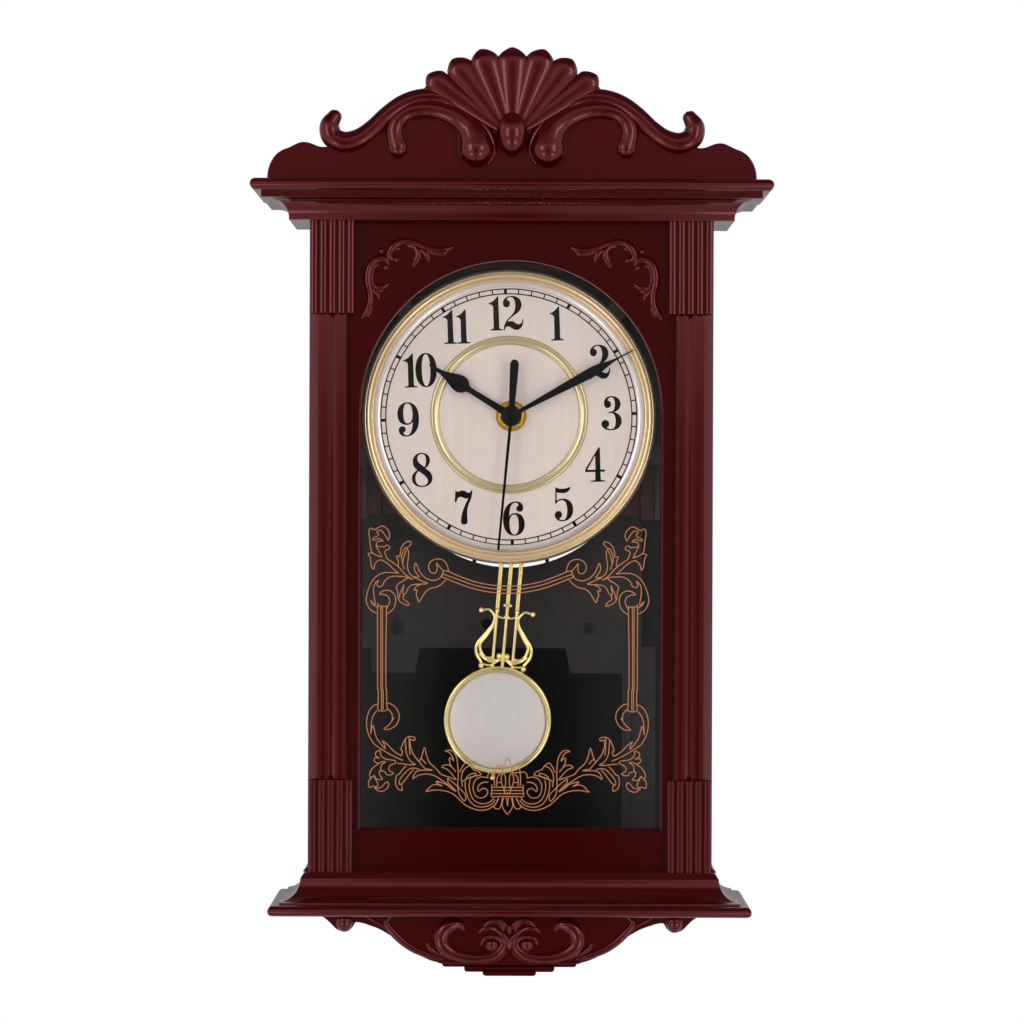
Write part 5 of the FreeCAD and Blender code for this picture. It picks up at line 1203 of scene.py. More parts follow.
@dataclass
class Crest:
    """The carved crest: plate, fanned shell, oval boss, scrolls and knobs."""

    foot: float = 27.0
    face: float = -70.0
    back: float = -64.0
    lobes: tuple[tuple[float, float, float], ...] = (
        (0.0, 60.4, 8.5), (14.2, 60.4, 7.8), (26.8, 56.6, 7.4), (38.8, 50.2, 6.7))
    root: Point = (0.0, 25.5)
    lobe_rise: float = 0.46
    lobe_lean: float = 3.6
    blunt: float = 0.87
    boss: tuple[float, float, float, float] = (0.0, 24.0, 8.9, 12.3)
    boss_proud: float = 9.6
    fan: float = 0.13
    thin: float = 1.8
    swell: float = 0.8

    PLATE = (
        "127.7 0 127.3 4.5 125.8 9 123.2 12.8 119.8 15.3 116.4 16.6 113.6 18 110.6 19.3 107.4 "
        "19.5 104.2 18.6 101.2 17.4 98 17 90 17.6 85 18.5 77.6 22.7 69.3 32 61 39.4 52.6 43.3 "
        "44.2 45.5 41 50 38.4 52 32 54 26.2 58.5 20 59.5 13.9 62.5 7 62 0 64")

    CUTS: tuple[Cut, ...] = (
        ("264 272 251 297 258 328 292 343 335 332 374 303 412 266 455 235 503 217 552 216 600 234 "
         "645 265 681 302 703 340 707 372 694 400",
         "3.9 5.3 5.6 5.6 5.3 4.9 4.7 4.7 4.5 4.3 4.1 3.8 3.4 2.9 2.3 1.4", 0.0, 0.95),
        ("443 358 436 335 433 308 447 277 478 255 520 249 562 255 605 273 636 298 653 328 661 361",
         "5.7 5.3 4.9 4.7 4.8 5 5.4 5.9 6.8 8.3 9.7", 0.5, 0.9),
        ("522 193 560 196 612 216 665 252 700 292 716 318",
         "1.1 1.4 1.5 1.4 0.9 0.5", 2.2, 1.1),
    )

    def plate(self) -> list[Point]:
        """Outline of the flat plate behind the carving."""
        half = rows(self.PLATE)
        right = flowing([(x, self.foot + v) for x, v in half])
        return right + [(-x, z) for x, z in reversed(right[:-1])]

    def stems(self) -> list[Stem]:
        """Scrolls and tubes of the left half."""
        return carving(Tracing(240, 20, 2.8, self.face - 1.5), self.CUTS, self.face)

    def shell(self) -> list[Stem]:
        """The lobes of the right half, from the middle one out."""
        out = []
        for x, v, radius in self.lobes:
            ax, az = self.root[0] + x * self.fan, self.root[1]
            path = [(ax + (x - ax) * t, self.foot + az + (v - az) * t,
                     self.thin + (radius - self.thin) * t ** self.swell)
                    for t in (0.0, 0.2, 0.4, 0.6, 0.8, 1.0)]
            way = Vector((x - ax, v - az)).normalized()
            for angle in (20, 38, 55, 70, 82, 90):
                reach = radius * sin(radians(angle)) * self.blunt
                path.append((x + way.x * reach, self.foot + v + way.y * reach,
                             max(radius * cos(radians(angle)), 0.02)))
            out.append(Stem(path, self.face - self.lobe_lean, self.lobe_rise, self.lobe_lean + 1.2))
        return out

    def build(self, shop: Workshop) -> None:
        """Builds the crest as one carving."""
        flat = Draft()
        flat.prism(self.plate(), self.face, self.back)
        plate = flat.mesh("crest plate")
        round_over(plate)
        fan = self.shell()
        carved = shop.stems(both(self.stems()), "mahogany moulding", 0.9, 28)
        lobes = shop.stems(fan + [one.twin() for one in fan[1:]], "mahogany moulding", 0.3, 28)
        knobs = Draft()
        x, v, half_wide, half_high = self.boss
        knobs.ball((x, self.face, self.foot + v), (half_wide, self.boss_proud, half_high), 44)
        mesh = joined("crest", [plate, carved, lobes, knobs.mesh("crest knobs")])
        flat_back(mesh, self.back)
        shop.carve(mesh, "crest_carved", "crest", 45.0)


@dataclass
class Apron:
    """The carved plate below the base, with its stepped foot and drops."""

    top: float = -355.4
    face: float = -64.0
    back: float = -58.0
    steps: tuple[Point, ...] = ((35.2, 28.5), (23.6, 31.1), (14.0, 33.2))
    first_step: float = 26.4
    corner: float = 1.7

    KNOBS: tuple[tuple[float, float, Place, int], ...] = (
        (-86.3, 4.9, (4.6, 4.2, 5.6), 32), (-9.3, 17.0, (4.0, 3.4, 4.0), 28),
        (86.3, 4.9, (4.6, 4.2, 5.6), 32), (9.3, 17.0, (4.0, 3.4, 4.0), 28),
        (0.0, 8.5, (2.0, 3.0, 3.6), 24))

    OUTLINE = (
        "103 0 100.2 1.5 96.6 3.4 93.6 6 90.8 8.8 87.6 10.3 84.6 10.2 82 8 80.4 5.6 77 5.9 73.5 7 "
        "67.5 9.3 59.8 14 51.4 20.3 43 24.6 37.5 26.3 34.5 26.8 30 27")

    CUTS: tuple[Cut, ...] = (
        ("350 92 420 128 480 165 520 205",
         "0.7 1 0.9 0.6", 0.0, 0.9),
        ("528 88 496 118 505 155 548 208 612 270 700 330 800 372 905 405",
         "1 1.7 2 2.2 2.2 2.1 1.8 1.2", 0.0, 0.9),
        ("800 288 815 322 850 352 905 380",
         "1 1.5 1.4 0.8", 0.0, 0.9),
        ("1068 180 1040 152 990 148 935 178 905 228 908 285 945 332 1005 368 1090 390 1190 396 "
         "1285 380 1350 335 1368 280 1325 242 1262 248",
         "1.4 3 4 4.4 4.4 4.2 3.9 3.5 3.2 3 2.8 2.6 2.3 1.9 1.2", 0.4, 0.9),
        ("872 318 920 366 968 396",
         "0.6 1.1 0.8", 1.6, 0.9),
        ("1188 205 1222 180 1268 172 1310 190",
         "0.8 1.5 1.6 1", 0.4, 0.9),
        ("1222 165 1258 132 1312 112 1348 140 1370 190",
         "0.8 1.7 2 1.7 1", 0.4, 0.9),
        ("1305 172 1350 212 1398 262 1410 320",
         "0.9 1.5 1.5 1", 0.4, 0.9),
        ("1356 108 1384 150 1410 196",
         "1 1.5 1", 0.6, 0.9),
        ("1205 300 1225 258 1260 238 1300 236",
         "0.8 1.5 1.4 0.8", 0.3, 0.9),
        ("900 432 1100 434 1250 430 1330 408 1390 352",
         "0.5 0.6 0.6 0.6 0.5", 0.6, 0.9),
    )

    def outline(self) -> list[Point]:
        """Outline of the plate, the steps left out."""
        half = rows(self.OUTLINE)
        right = flowing([(x, self.top - drop) for x, drop in half])
        return right + [(-x, z) for x, z in reversed(right)]

    def stems(self) -> list[Stem]:
        """The relief of the left half."""
        return carving(Tracing(320, 905, 7.467, self.face), self.CUTS, self.face + 0.2)

    def build(self, shop: Workshop) -> None:
        """Builds the apron as one carving."""
        flat = Draft()
        flat.prism(self.outline(), self.face, self.back)
        above, corner = self.first_step, self.corner
        for half, drop in self.steps:
            low, high = self.top - drop, self.top - above
            right = [(half, high), (half, low + corner)]
            right += [(half - corner + corner * cos(radians(a)),
                       low + corner - corner * sin(radians(a))) for a in (25, 50, 75, 90)]
            flat.prism([(-x, z) for x, z in reversed(right)] + right, self.face - 0.6, self.back)
            above = drop - 1.0
        plate = flat.mesh("apron plate")
        round_over(plate, 0.5)
        carved = shop.stems(both(self.stems()), "mahogany moulding", 0.7, 16)
        knobs = Draft()
        for x, drop, radii, steps in self.KNOBS:
            knobs.ball((x, self.face, self.top - drop), radii, steps)
        mesh = joined("apron", [plate, carved, knobs.mesh("apron knobs")])
        flat_back(mesh, self.back)
        shop.carve(mesh, "apron_carved", "apron", 45.0)


@dataclass
class CornerScrolls:
    """The thin raised scrolls between the arch and the panel's corners."""

    face: float = -50.0
    bold: float = 1.55
    knob_rise: float = 2.1

    KNOBS = "1155 395 1.9 935 525 1.8 1085 638 1.9"
    CUTS: tuple[Cut, ...] = (
        ("115 340 180 368 270 382 380 370 480 342 580 304 680 270 780 252 860 260 930 290 988 345 "
         "1022 400 1040 460 1012 510 960 500",
         "0.8 1.1 1.1 1.1 1.2 1.2 1.2 1.3 1.4 1.5 1.5 1.4 1.3 1.1 0.8", 0.0, 1.05),
        ("172 392 215 425 310 425 430 402 520 378 600 350",
         "0.7 1.2 1.1 0.9 0.8 0.5", 0.0, 1.05),
        ("885 350 950 362 990 402 1000 452",
         "0.5 0.8 0.8 0.5", 0.0, 1.05),
        ("760 312 700 320 650 345 612 395 605 460 632 530 670 605",
         "0.5 0.8 1.1 1.4 1.5 1.4 0.9", 0.0, 1.05),
        ("592 362 540 395 492 432 462 480 448 545",
         "0.7 1.1 1.3 1.1 0.5", 0.0, 1.05),
        ("1050 590 1078 535 1150 508 1240 533 1308 598 1345 690 1358 800 1346 900 1322 1010 1315 "
         "1110 1332 1210 1372 1300 1438 1390",
         "0.8 1.1 1.3 1.4 1.5 1.6 1.6 1.6 1.5 1.4 1.4 1.3 0.8", 0.0, 1.05),
        ("1205 602 1262 630 1292 700 1300 800 1275 888 1208 938 1120 934 1050 888",
         "0.6 0.9 0.9 0.8 0.9 1 1 0.6", 0.0, 1.05),
        ("1130 985 1200 990 1272 952 1310 900",
         "0.5 0.8 0.8 0.5", 0.0, 1.05),
        ("1292 960 1240 1010 1202 1050 1182 1108",
         "0.7 1 0.9 0.4", 0.0, 1.05),
        ("1290 1180 1308 1270 1350 1362",
         "0.5 0.9 0.6", 0.0, 1.05),
    )

    def build(self, shop: Workshop) -> None:
        """Builds one piece for each side."""
        trace = Tracing(565, 225, 14.933, self.face)
        for side, node in ((1, "corner_scroll_right"), (-1, "corner_scroll_left")):
            stems = carving(trace, self.CUTS, self.face + 0.25, self.bold)
            if side < 0:
                stems = [one.twin() for one in stems]
            carved = shop.stems(stems, "mahogany moulding", 0.35, 12)
            knobs = Draft()
            for px, py, r in rows(self.KNOBS, 3):
                x, z = trace.at(px, py)
                knobs.ball((side * x, self.face, z), (r, self.knob_rise, r), 20)
            mesh = joined(node, [carved, knobs.mesh("scroll knobs")])
            shop.carve(mesh, f"{node}_carved", node, 50.0)


@dataclass
class Window:
    """The arched glass and the ornament printed on it."""

    face: float = -46.5
    line: float = 0.28
    film: float = 0.12
    mirror: float = 507.5

    UPPER: tuple[str, ...] = (
        "78 150 98 142 125 158 150 150 180 130 210 120 245 135 275 165 288 200 286 240 275 268",
        "275 268 250 230 225 192 200 166 176 165 155 182 175 203 160 225 122 245 110 265 150 262 "
        "180 248 205 262 220 278 185 278 155 295 148 325",
        "78 150 72 195 80 250 87 310 95 370 115 403 160 428 210 445",
        "210 445 190 405 165 362 148 325 180 335 215 335 235 342 245 325 272 322 290 345 275 365 "
        "250 372 238 395 250 425 262 458 310 492 360 528 400 565 440 612 480 648 530 678",
        "115 403 65 410 86 450 92 500 102 550 122 570 130 530 152 495 190 475 235 490 290 530 330 "
        "570 385 615",
        "385 615 340 608 290 605 220 610 160 640 110 690 75 760 50 840 45 910 70 970 110 1010 155 "
        "1030",
        "530 678 450 650 390 645 320 645 270 665 235 700 215 740 190 755 160 745 160 718 176 690 "
        "148 705 128 740 120 790 126 850 137 910 137 940 118 930 90 895",
        "90 895 115 940 160 968",
        "375 542 382 500 370 460 362 432 395 435 402 390 415 340 445 300 490 278 515 287 505 315 "
        "475 345 447 352 425 400 415 450 425 510 445 570",
        "465 350 486 380 488 420 480 480 475 540 490 600 522 637 560 652 598 650 570 612 548 572 "
        "550 530 562 505 580 540 600 590 640 640 690 675 750 685 800 672 830 640 850 590",
        "425 508 440 440 465 368",
        "905 590 895 540 870 492 825 466 770 464 720 490 695 540 710 590 745 612 775 600 785 560 "
        "780 505 802 532 830 565 850 588",
        "535 655 575 668 622 692 685 720 620 725 560 728 512 740 482 770 465 810 440 840 430 880 "
        "460 900 482 922 490 950 450 940 402 912 380 880 375 840 370 792 358 757 390 717 438 690 "
        "480 658",
        "440 732 425 770 402 812 390 872",
        "440 842 425 820 432 780 440 735",
        "620 726 585 740 560 760 545 790 578 790 566 830 580 870 595 912 630 860 660 812 710 772 "
        "780 755 830 725 875 680",
        "850 585 900 592 1000 635 1150 690 1300 725 1430 740 1521 743",
        "850 620 1000 674 1150 727 1300 762 1430 777 1521 781",
        "835 650 880 667 1000 715 1150 767 1300 801 1430 816 1521 820",
        "850 582 835 650",
        "163 1830 163 1400 163 965 178 956 245 962 256 985 250 1400 250 1830",
        "197 960 197 1400 197 1830",
        "214 960 214 1400 214 1830",
        "256 1040 300 1012 336 970 352 910 345 850 310 805 260 790 212 803 185 830 230 835 270 "
        "855 290 892 285 930 265 970 256 990",
    )

    LOWER: tuple[str, ...] = (
        "170 -5 170 140 170 215 258 215 258 140 258 -5",
        "204 -5 204 100 204 212",
        "221 -5 221 100 221 212",
        "168 150 120 170 80 217 56 280 48 350 57 430 82 500 120 560 170 602 230 640 300 680 370 "
        "715 430 740",
        "155 222 120 270 100 330 95 400 90 465 102 405 115 375 128 420 147 490 182 550 240 617 "
        "232 572 213 535 262 572 320 630 370 670 412 692",
        "262 140 312 155 357 195 386 250 385 312 355 370 310 405 260 418 232 410 270 380 303 342 "
        "335 290 318 318 316 260 292 222 262 195",
        "412 690 425 642 408 630 425 570 450 520 490 492 540 495 558 515 540 532 510 520 503 560 "
        "515 620 540 680 580 732 620 780 660 825",
        "452 520 456 580 462 650 482 710 520 760 560 780 500 786 430 776 370 770",
        "492 498 495 580 502 682",
        "600 747 615 720 630 680 640 640 655 605 667 650 682 710 710 765 750 802 790 842 822 880 "
        "870 900 930 920 985 940",
        "620 720 650 750 668 774",
        "660 825 735 840 680 842 620 842 562 862 530 930 580 900 640 884 710 885 770 905 830 942 "
        "890 985 940 1030 985 1065",
        "600 832 550 820 500 828 460 860 422 902 392 950 395 992 430 970 470 920 505 872 540 838",
        "460 798 420 840 386 886 366 892 352 935 352 980 370 1030 400 1050 420 1050 415 1002 400 "
        "985",
        "192 635 150 650 140 680 157 705 187 718 140 713 125 740 145 763 172 774 120 812 87 860 "
        "80 905 100 922 125 900 150 935 190 942 215 935 190 900 180 862 196 840 200 800 225 770 "
        "250 756 210 755 172 774",
        "190 638 200 690 240 723 300 735 340 742 353 765 300 790 280 822 290 850 330 875 300 890 "
        "260 890 240 860 198 850",
        "100 922 70 960 70 1002 80 1025 118 1010 150 1030 180 1030 210 1014 235 985 263 965 278 "
        "990 265 1030 220 1060 170 1060 130 1028",
        "125 903 152 955 168 1002 140 1015",
        "985 1065 930 1030 880 990 830 970 775 958 800 985 838 1006 780 990 730 1002 690 1040 670 "
        "1065 740 1050 820 1050 900 1066 960 1095 1000 1130 1040 1170 1100 1215 1170 1245 1240 "
        "1258 1310 1250 1360 1225 1400 1190 1420 1140",
        "1002 950 1006 880 1002 800 992 720 970 670 930 632 870 640 912 655 940 690 960 742 937 "
        "720 915 712 920 770 950 820 980 856",
        "985 940 940 880 890 832 835 806 870 785 915 790 950 820",
        "1022 862 1050 805 1085 762 1130 790 1162 830 1210 850 1245 885 1190 900 1130 915 1080 "
        "940 1040 950 1048 870 1085 815 1130 792",
        "1082 932 1120 890 1178 870 1190 885 1150 915 1085 934",
        "1002 950 1005 1030 1020 1100 1068 1160 1086 1130 1075 1090 1040 1050 960 975 895 925",
        "1042 950 1050 1012",
        "895 925 900 970 940 1010 985 1062",
        "1320 920 1250 910 1192 937 1165 990 1165 1050 1190 1108 1240 1130 1290 1112 1315 1070 "
        "1300 1037 1260 1030 1220 1060 1210 1030 1230 990 1270 966 1320 965",
        "1132 940 1120 1000 1130 1070 1160 1140 1212 1180 1280 1190 1340 1170 1380 1130",
        "1080 952 1080 1010 1092 1080 1120 1150 1170 1203 1240 1225 1310 1215 1362 1190 1392 1150",
    )

    PALMETTE: tuple[str, ...] = (
        "380 775 380 880 380 985 520 985 653 985",
        "380 825 520 825 653 825",
        "384 880 520 880 653 880",
        "384 935 520 935 653 935",
        "575 600 572 545 580 490 605 405 632 335 653 308",
        "575 575 548 640 545 715 565 790 590 850 600 900 618 940 640 935 653 915",
        "590 570 615 640 622 720 615 800 600 860",
        "430 800 425 700 430 600 440 520 465 460 508 437 548 462 562 520 572 575",
        "470 805 468 700 490 632 530 592",
        "480 742 545 742",
        "305 650 322 590 365 557 430 562 500 570 575 572",
        "590 1005 566 1080 562 1150 600 1230 653 1300",
        "628 1005 645 1055 653 1150",
        "505 1005 470 1080 425 1150 428 1182 470 1203 515 1190 540 1140 560 1060 565 1005",
    )

    def build(self, shop: Workshop) -> None:
        """Prints the ornament on the glass and dresses the pane."""
        shop.dress("window_glass", "window glass")
        shop.dress("glass_clips", "zinc steel")
        lines: list[Stem] = []
        for trace, drawing in ((Tracing(362, 515, 10.453, self.face), self.UPPER),
                               (Tracing(362, 690, 10.453, self.face), self.LOWER),
                               (Tracing(470, 740, 17.427, self.face), self.PALMETTE)):
            axis = (self.mirror - trace.left) * trace.zoom
            for run in map(rows, drawing):
                for points in (run, [(2 * axis - x, y) for x, y in run]):
                    path = [(x, z, self.line) for x, z in trace.line(points)]
                    lines.append(Stem(path, self.face, self.film))
        mesh = shop.stems(lines, "glass print", 0.3, 6)
        shop.piece(mesh, "glass_print", "glass print", Body.CLOCK, Slot.COPPER, (), 60.0)


@dataclass
class Dial:
    """The dial with its bezel, ring, minute track and numerals."""

    axis: float = -95.0
    face: float = -34.0
    back: float = -33.2
    turn: float = -1.75
    shift: Point = (-0.6, 0.0)
    track_shift: Point = (-1.25, -0.45)
    ring_shift: Point = (-1.05, 0.0)
    track_inner: float = 65.5
    track_outer: float = 68.1
    line: float = 0.66
    block: float = 0.85
    film: float = 0.03
    hole: float = 4.1
    rim: float = 73.0
    nut: float = 7.3
    figure_radius: float = 54.8
    figure_height: float = 18.1
    ink: float = 0.07
    bezel_lift: float = -0.35
    chapter_lift: float = 0.7

    GLYPHS: tuple[str, ...] = (
        "M31 100C12 100 0 80 0 50C0 20 12 0 31 0C50 0 62 20 62 50C62 80 50 100 31 100ZM31 97"
        "C24 97 18 82 18 50C18 18 24 3 31 3C38 3 44 18 44 50C44 82 38 97 31 97Z",
        "M24 100C22 99 20 96 16 92C11 86 4 82 -3 80L-3 78C5 77 10 74 10 66L10 8C10 4 6 3 0 3L0 0"
        "L36 0L36 3C30 3 26 4 26 8L25 100Z",
        "M0 0C1 18 10 30 22 41C32 50 36 60 36 72C36 88 31 97 23 97C17 97 12 94 11 88"
        "C17 88 20 83 20 78C20 71 15 67 10 67C4 67 0 72 0 79C0 91 11 100 26 100"
        "C42 100 54 90 54 74C54 60 45 52 33 44C23 38 14 30 12 23C15 25 18 26 22 26"
        "C32 26 36 16 45 16C51 16 55 21 56 31L58 31C58 12 51 0 38 0C27 0 21 11 13 11C7 11 4 7 3 0"
        "Z",
        "M9 78C9 70 14 66 19 66C25 66 29 71 29 77C29 83 25 87 19 88C21 94 25 97 31 97"
        "C38 97 41 90 41 77C41 62 36 54 27 54L21 54L21 51L27 51C38 51 42 43 42 27C42 11 37 3 28 3"
        "C22 3 17 5 14 9C19 10 22 14 22 19C22 26 17 30 11 30C5 30 0 26 0 19C0 8 12 0 28 0"
        "C47 0 59 11 59 27C59 41 51 49 37 53C50 57 57 65 57 77C57 91 46 100 30 100"
        "C17 100 9 92 9 78Z",
        "M40 100L0 37L0 29L29 29L29 8C29 4 24 3 15 3L15 0L57 0L57 3C48 3 44 4 44 8L44 29L57 29"
        "L57 35L44 35L44 100ZM30 79L30 35L5 35Z",
        "M4 100C16 93 30 93 46 100L48 98C44 87 36 83 25 83C17 83 10 84 7 86L6 60"
        "C11 64 17 66 25 66C43 66 54 53 54 34C54 14 41 0 22 0C9 0 0 8 0 18C0 25 5 30 11 30"
        "C17 30 21 25 21 19C21 14 17 10 12 9C14 5 18 3 23 3C32 3 37 12 37 33C37 52 32 62 22 62"
        "C14 62 8 58 5 52L2 52Z",
        "M38 100C52 100 60 92 60 81C60 74 55 70 50 70C44 70 40 74 40 79C40 84 43 87 47 88"
        "C46 94 42 97 37 97C25 97 19 82 18 56C22 63 28 66 36 66C52 66 63 54 63 34C63 13 50 0 33 0"
        "C12 0 0 18 0 48C0 80 16 100 38 100ZM33 62C24 62 18 52 18 34C18 14 24 3 33 3"
        "C42 3 46 14 46 33C46 52 42 62 33 62Z",
        "M0 66L3 100L5 100C7 96 10 95 13 97C19 101 28 101 34 96C40 91 47 91 49 100L52 100"
        "C52 84 48 74 41 60C35 47 34 30 36 12C36 4 32 0 26 0C20 0 16 4 17 12C19 34 27 52 41 78"
        "C36 75 31 76 26 79C18 84 8 84 4 66Z",
        "M30 100C44 100 54 91 54 78C54 68 48 60 40 54C52 47 60 38 60 26C60 10 47 0 30 0"
        "C12 0 0 10 0 25C0 36 7 44 17 50C8 56 4 64 4 75C4 90 15 100 30 100ZM31 97"
        "C22 97 17 91 17 83C17 73 26 67 38 58C42 63 43 70 43 78C43 90 39 97 31 97ZM20 47"
        "C12 40 10 33 10 25C10 11 18 3 30 3C40 3 47 9 47 17C47 28 35 36 20 47Z",
    )
    ADVANCE: tuple[float, ...] = (64, 39, 60, 61, 59, 56, 65, 54, 62, 65)
    CLOSER = {10: 7.0}
    NUDGE: tuple[Point, ...] = (
        (-1.1, 1.1), (1.1, 0.2), (-1.0, 0.0), (-3.1, 0.2), (-0.2, -0.2), (0.4, 0.2), (1.4, -0.5),
        (-0.3, 0.0), (0.5, -0.3), (0.5, -1.7), (0.4, 0.9), (-0.5, 0.0))

    CHAPTER = (
        "37.2 0 37.25 0.45 37.6 0.85 38.1 0.95 38.5 0.7 38.8 0.68 39.2 0.95 40 1.1 40.8 1.1 41.4 "
        "0.95 41.8 0.6 42 0.2 42.05 0")

    BEZEL = (
        "71.9 0 71.95 2.1 72.2 2.6 72.6 2.85 73 2.8 73.25 2.3 73.4 2.05 73.55 2.1 73.75 2.9 74.1 "
        "3.4 74.5 3.7 75 3.85 75.5 3.85 75.9 3.75 76.1 3.3 76.25 3.15 76.45 3.25 76.7 3.3 77.1 "
        "3.05 77.55 2.6 77.95 2 78.3 1.2 78.5 0.2 78.5 -0.8 73.2 -0.8 73.2 0")

    LINING = "68.6 0 69 0.08 69.8 0.35 70.6 0.85 71.4 1.5 72.2 2.3 72.2 0"

    def outline(self, digit: int) -> list[list[tuple[str, list[float]]]]:
        """Reads a figure's closed outlines: each is a list of moves with their numbers."""
        text = self.GLYPHS[6 if digit == 9 else digit]
        return [[(word[0], [float(n) for n in word[1:].split()])
                 for word in re.findall("[MLC][^MLC]*", loop)]
                for loop in text.split("Z") if loop]

    def figure(self, number: int) -> Mesh:
        """One numeral as a thin flat print, upright about its own middle."""
        curve = bpy.data.curves.new("figure", "CURVE")
        curve.dimensions, curve.fill_mode, curve.resolution_u = "2D", "BOTH", 10
        curve.offset = self.ink * MM
        unit = self.figure_height / 100 * MM
        digits = [int(c) for c in str(number)]
        close = self.CLOSER.get(number, 0.0)
        total = sum(self.ADVANCE[d] for d in digits) - 3 - close
        start = -total / 2
        for digit in digits:
            for loop in self.outline(digit):
                self.spline(curve, loop, start, digit == 9, unit)
            start += self.ADVANCE[digit] - close
        thing = placed("figure", curve)
        mesh = bpy.data.meshes.new_from_object(
            thing.evaluated_get(bpy.context.evaluated_depsgraph_get()))
        bpy.data.objects.remove(thing)
        return mesh

    @staticmethod
    def spline(curve: Curve, loop: list[tuple[str, list[float]]], start: float,
               turned: bool, unit: float) -> None:
        """Adds one closed outline to a curve.

        Args:
            curve: The figure's curve.
            loop: Its moves.
            start: Where the figure begins, in units.
            turned: Whether it stands on its head.
            unit: Metres to the unit.
        """
        anchors: list[list[Point]] = []
        for move, n in loop:
            if move == "C":
                anchors[-1][2] = (n[0], n[1])
                anchors.append([(n[2], n[3]), (n[4], n[5]), (n[4], n[5])])
            else:
                anchors.append([(n[0], n[1])] * 3)
        first, last = anchors[0], anchors[-1]
        if len(anchors) > 1 and dist(first[1], last[1]) < 1e-6:
            first[0] = last[0]
            anchors.pop()
        spline = curve.splines.new("BEZIER")
        spline.bezier_points.add(len(anchors) - 1)
        for point, (before, at, after) in zip(spline.bezier_points, anchors):
            point.handle_left_type = point.handle_right_type = "FREE"
            for label, (x, y) in (("handle_left", before), ("co", at), ("handle_right", after)):
                if turned:
                    x, y = 63 - x, 100 - y
                setattr(point, label, ((start + x) * unit, (y - 50) * unit, 0.0))
        spline.use_cyclic_u = True

    def spot(self, radius: float, clockwise: float) -> Vector:
        """A place on the dial's face, by distance from its print's middle and angle from twelve."""
        angle = radians(clockwise + self.turn)
        across, up = radius * sin(angle), radius * cos(angle)
        return Vector(((self.shift[0] + across) * MM, (self.face - self.film) * MM,
                       (self.axis + self.shift[1] + up) * MM))

    def numerals(self, shop: Workshop) -> None:
        """Prints the twelve numerals."""
        meshes = []
        for hour in range(1, 13):
            mesh = self.figure(hour)
            across, up = self.NUDGE[hour - 1]
            place = Matrix.Translation(self.spot(self.figure_radius, 30 * hour)
                                       + Vector((across * MM, 0.0, up * MM)))
            turn = Euler((radians(90), 0, 0)).to_matrix().to_4x4()
            lean = Matrix.Rotation(radians(self.turn), 4, "Y")
            mesh.transform(place @ lean @ turn)
            meshes.append(mesh)
        shop.piece(joined("numerals", meshes), "dial_numerals", "dial print", Body.CLOCK,
                   Slot.BLACK, (), None)

    def track(self, shop: Workshop) -> None:
        """Prints the minute track: two circles, sixty ticks and twelve blocks."""
        x, z = self.track_shift[0], self.axis + self.track_shift[1]
        face, front = self.face, self.face - self.film
        rings = Draft()
        for radius in (self.track_inner, self.track_outer):
            low, high = radius - self.line / 2, radius + self.line / 2
            rings.turned([(low, face), (low, front), (high, front), (high, face)], x, z, 240)
        meshes = [rings.mesh("track circles")]
        middle = (self.track_inner + self.track_outer) / 2
        up = (self.track_outer - self.track_inner) / 2
        for label, count, half in (("ticks", 60, self.line / 2), ("blocks", 12, self.block)):
            mark = Draft()
            mark.prism([(-half, -up), (half, -up), (half, up), (-half, up)], -self.film, 0.0)
            meshes.append(shop.repeat(shop.recipes.marks, mark.mesh(label), "dial print", {
                "Count": count, "Radius": middle * MM, "Centre": (x * MM, face * MM, z * MM),
                "First Angle": radians(self.turn)}))
        shop.piece(joined("track", meshes), "minute_track", "dial print", Body.CLOCK, Slot.BLACK,
                   (), None)

    def build(self, shop: Workshop) -> None:
        """Builds the dial's turned rings and its print."""
        plate = Draft()
        plate.turned([(self.hole, self.face), (self.rim, self.face), (self.rim, self.back),
                      (self.hole, self.back)], 0, self.axis, 200)
        shop.piece(plate.mesh("plate"), "dial_face", "dial silver", Body.CLOCK, Slot.DIAL,
                   ("dial_plate",))
        self.ring(shop, "dial_lining", "bezel lining", self.LINING, Slot.SILVER)
        self.ring(shop, "bezel_bead", "bezel gold", self.BEZEL, Slot.BRASS, ("dial_bezel",),
                  self.bezel_lift)
        self.ring(shop, "chapter_ring_turned", "chapter gold", self.CHAPTER, Slot.BRASS,
                  ("chapter_ring",), self.chapter_lift)
        self.track(shop)
        self.numerals(shop)
        shop.dress("dial_pan", "dark backing plate")
        shop.dress("dial_screws", "black screw steel")
        shop.dress("hand_washer", "nut brass")
        low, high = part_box("hand_nut")
        nut = Draft()
        corners = [polar(self.nut, a) for a in range(10, 370, 60)]
        nut.prism([(x, self.axis + up) for up, x in corners], low.y / MM, high.y / MM)
        shape = nut.mesh("nut")
        round_over(shape, 0.5)
        shop.piece(shape, "hand_nut_hex", "nut brass", Body.CLOCK, Slot.BRASS, ("hand_nut",), 20.0)

    def ring(self, shop: Workshop, name: str, finish: str, section: str, slot: Slot,
             replaces: tuple[str, ...] = (), lift: float = 0.0) -> None:
        """Turns one ring, set as far off the middle as in the photo.

        Args:
            shop: The workshop.
            name: The piece's name.
            finish: The name of its finish.
            section: Radius and height above the dial of its points.
            slot: The record's slot, handed on with the piece.
            replaces: CAD nodes that it stands for.
            lift: How much higher than the others it sits.
        """
        ring = Draft()
        ring.turned([(radius, self.face - rise) for radius, rise in rows(section)],
                    self.ring_shift[0], self.axis + self.ring_shift[1] + lift, 256)
        shop.piece(ring.mesh(name), name, finish, Body.CLOCK, slot, replaces, 60.0)


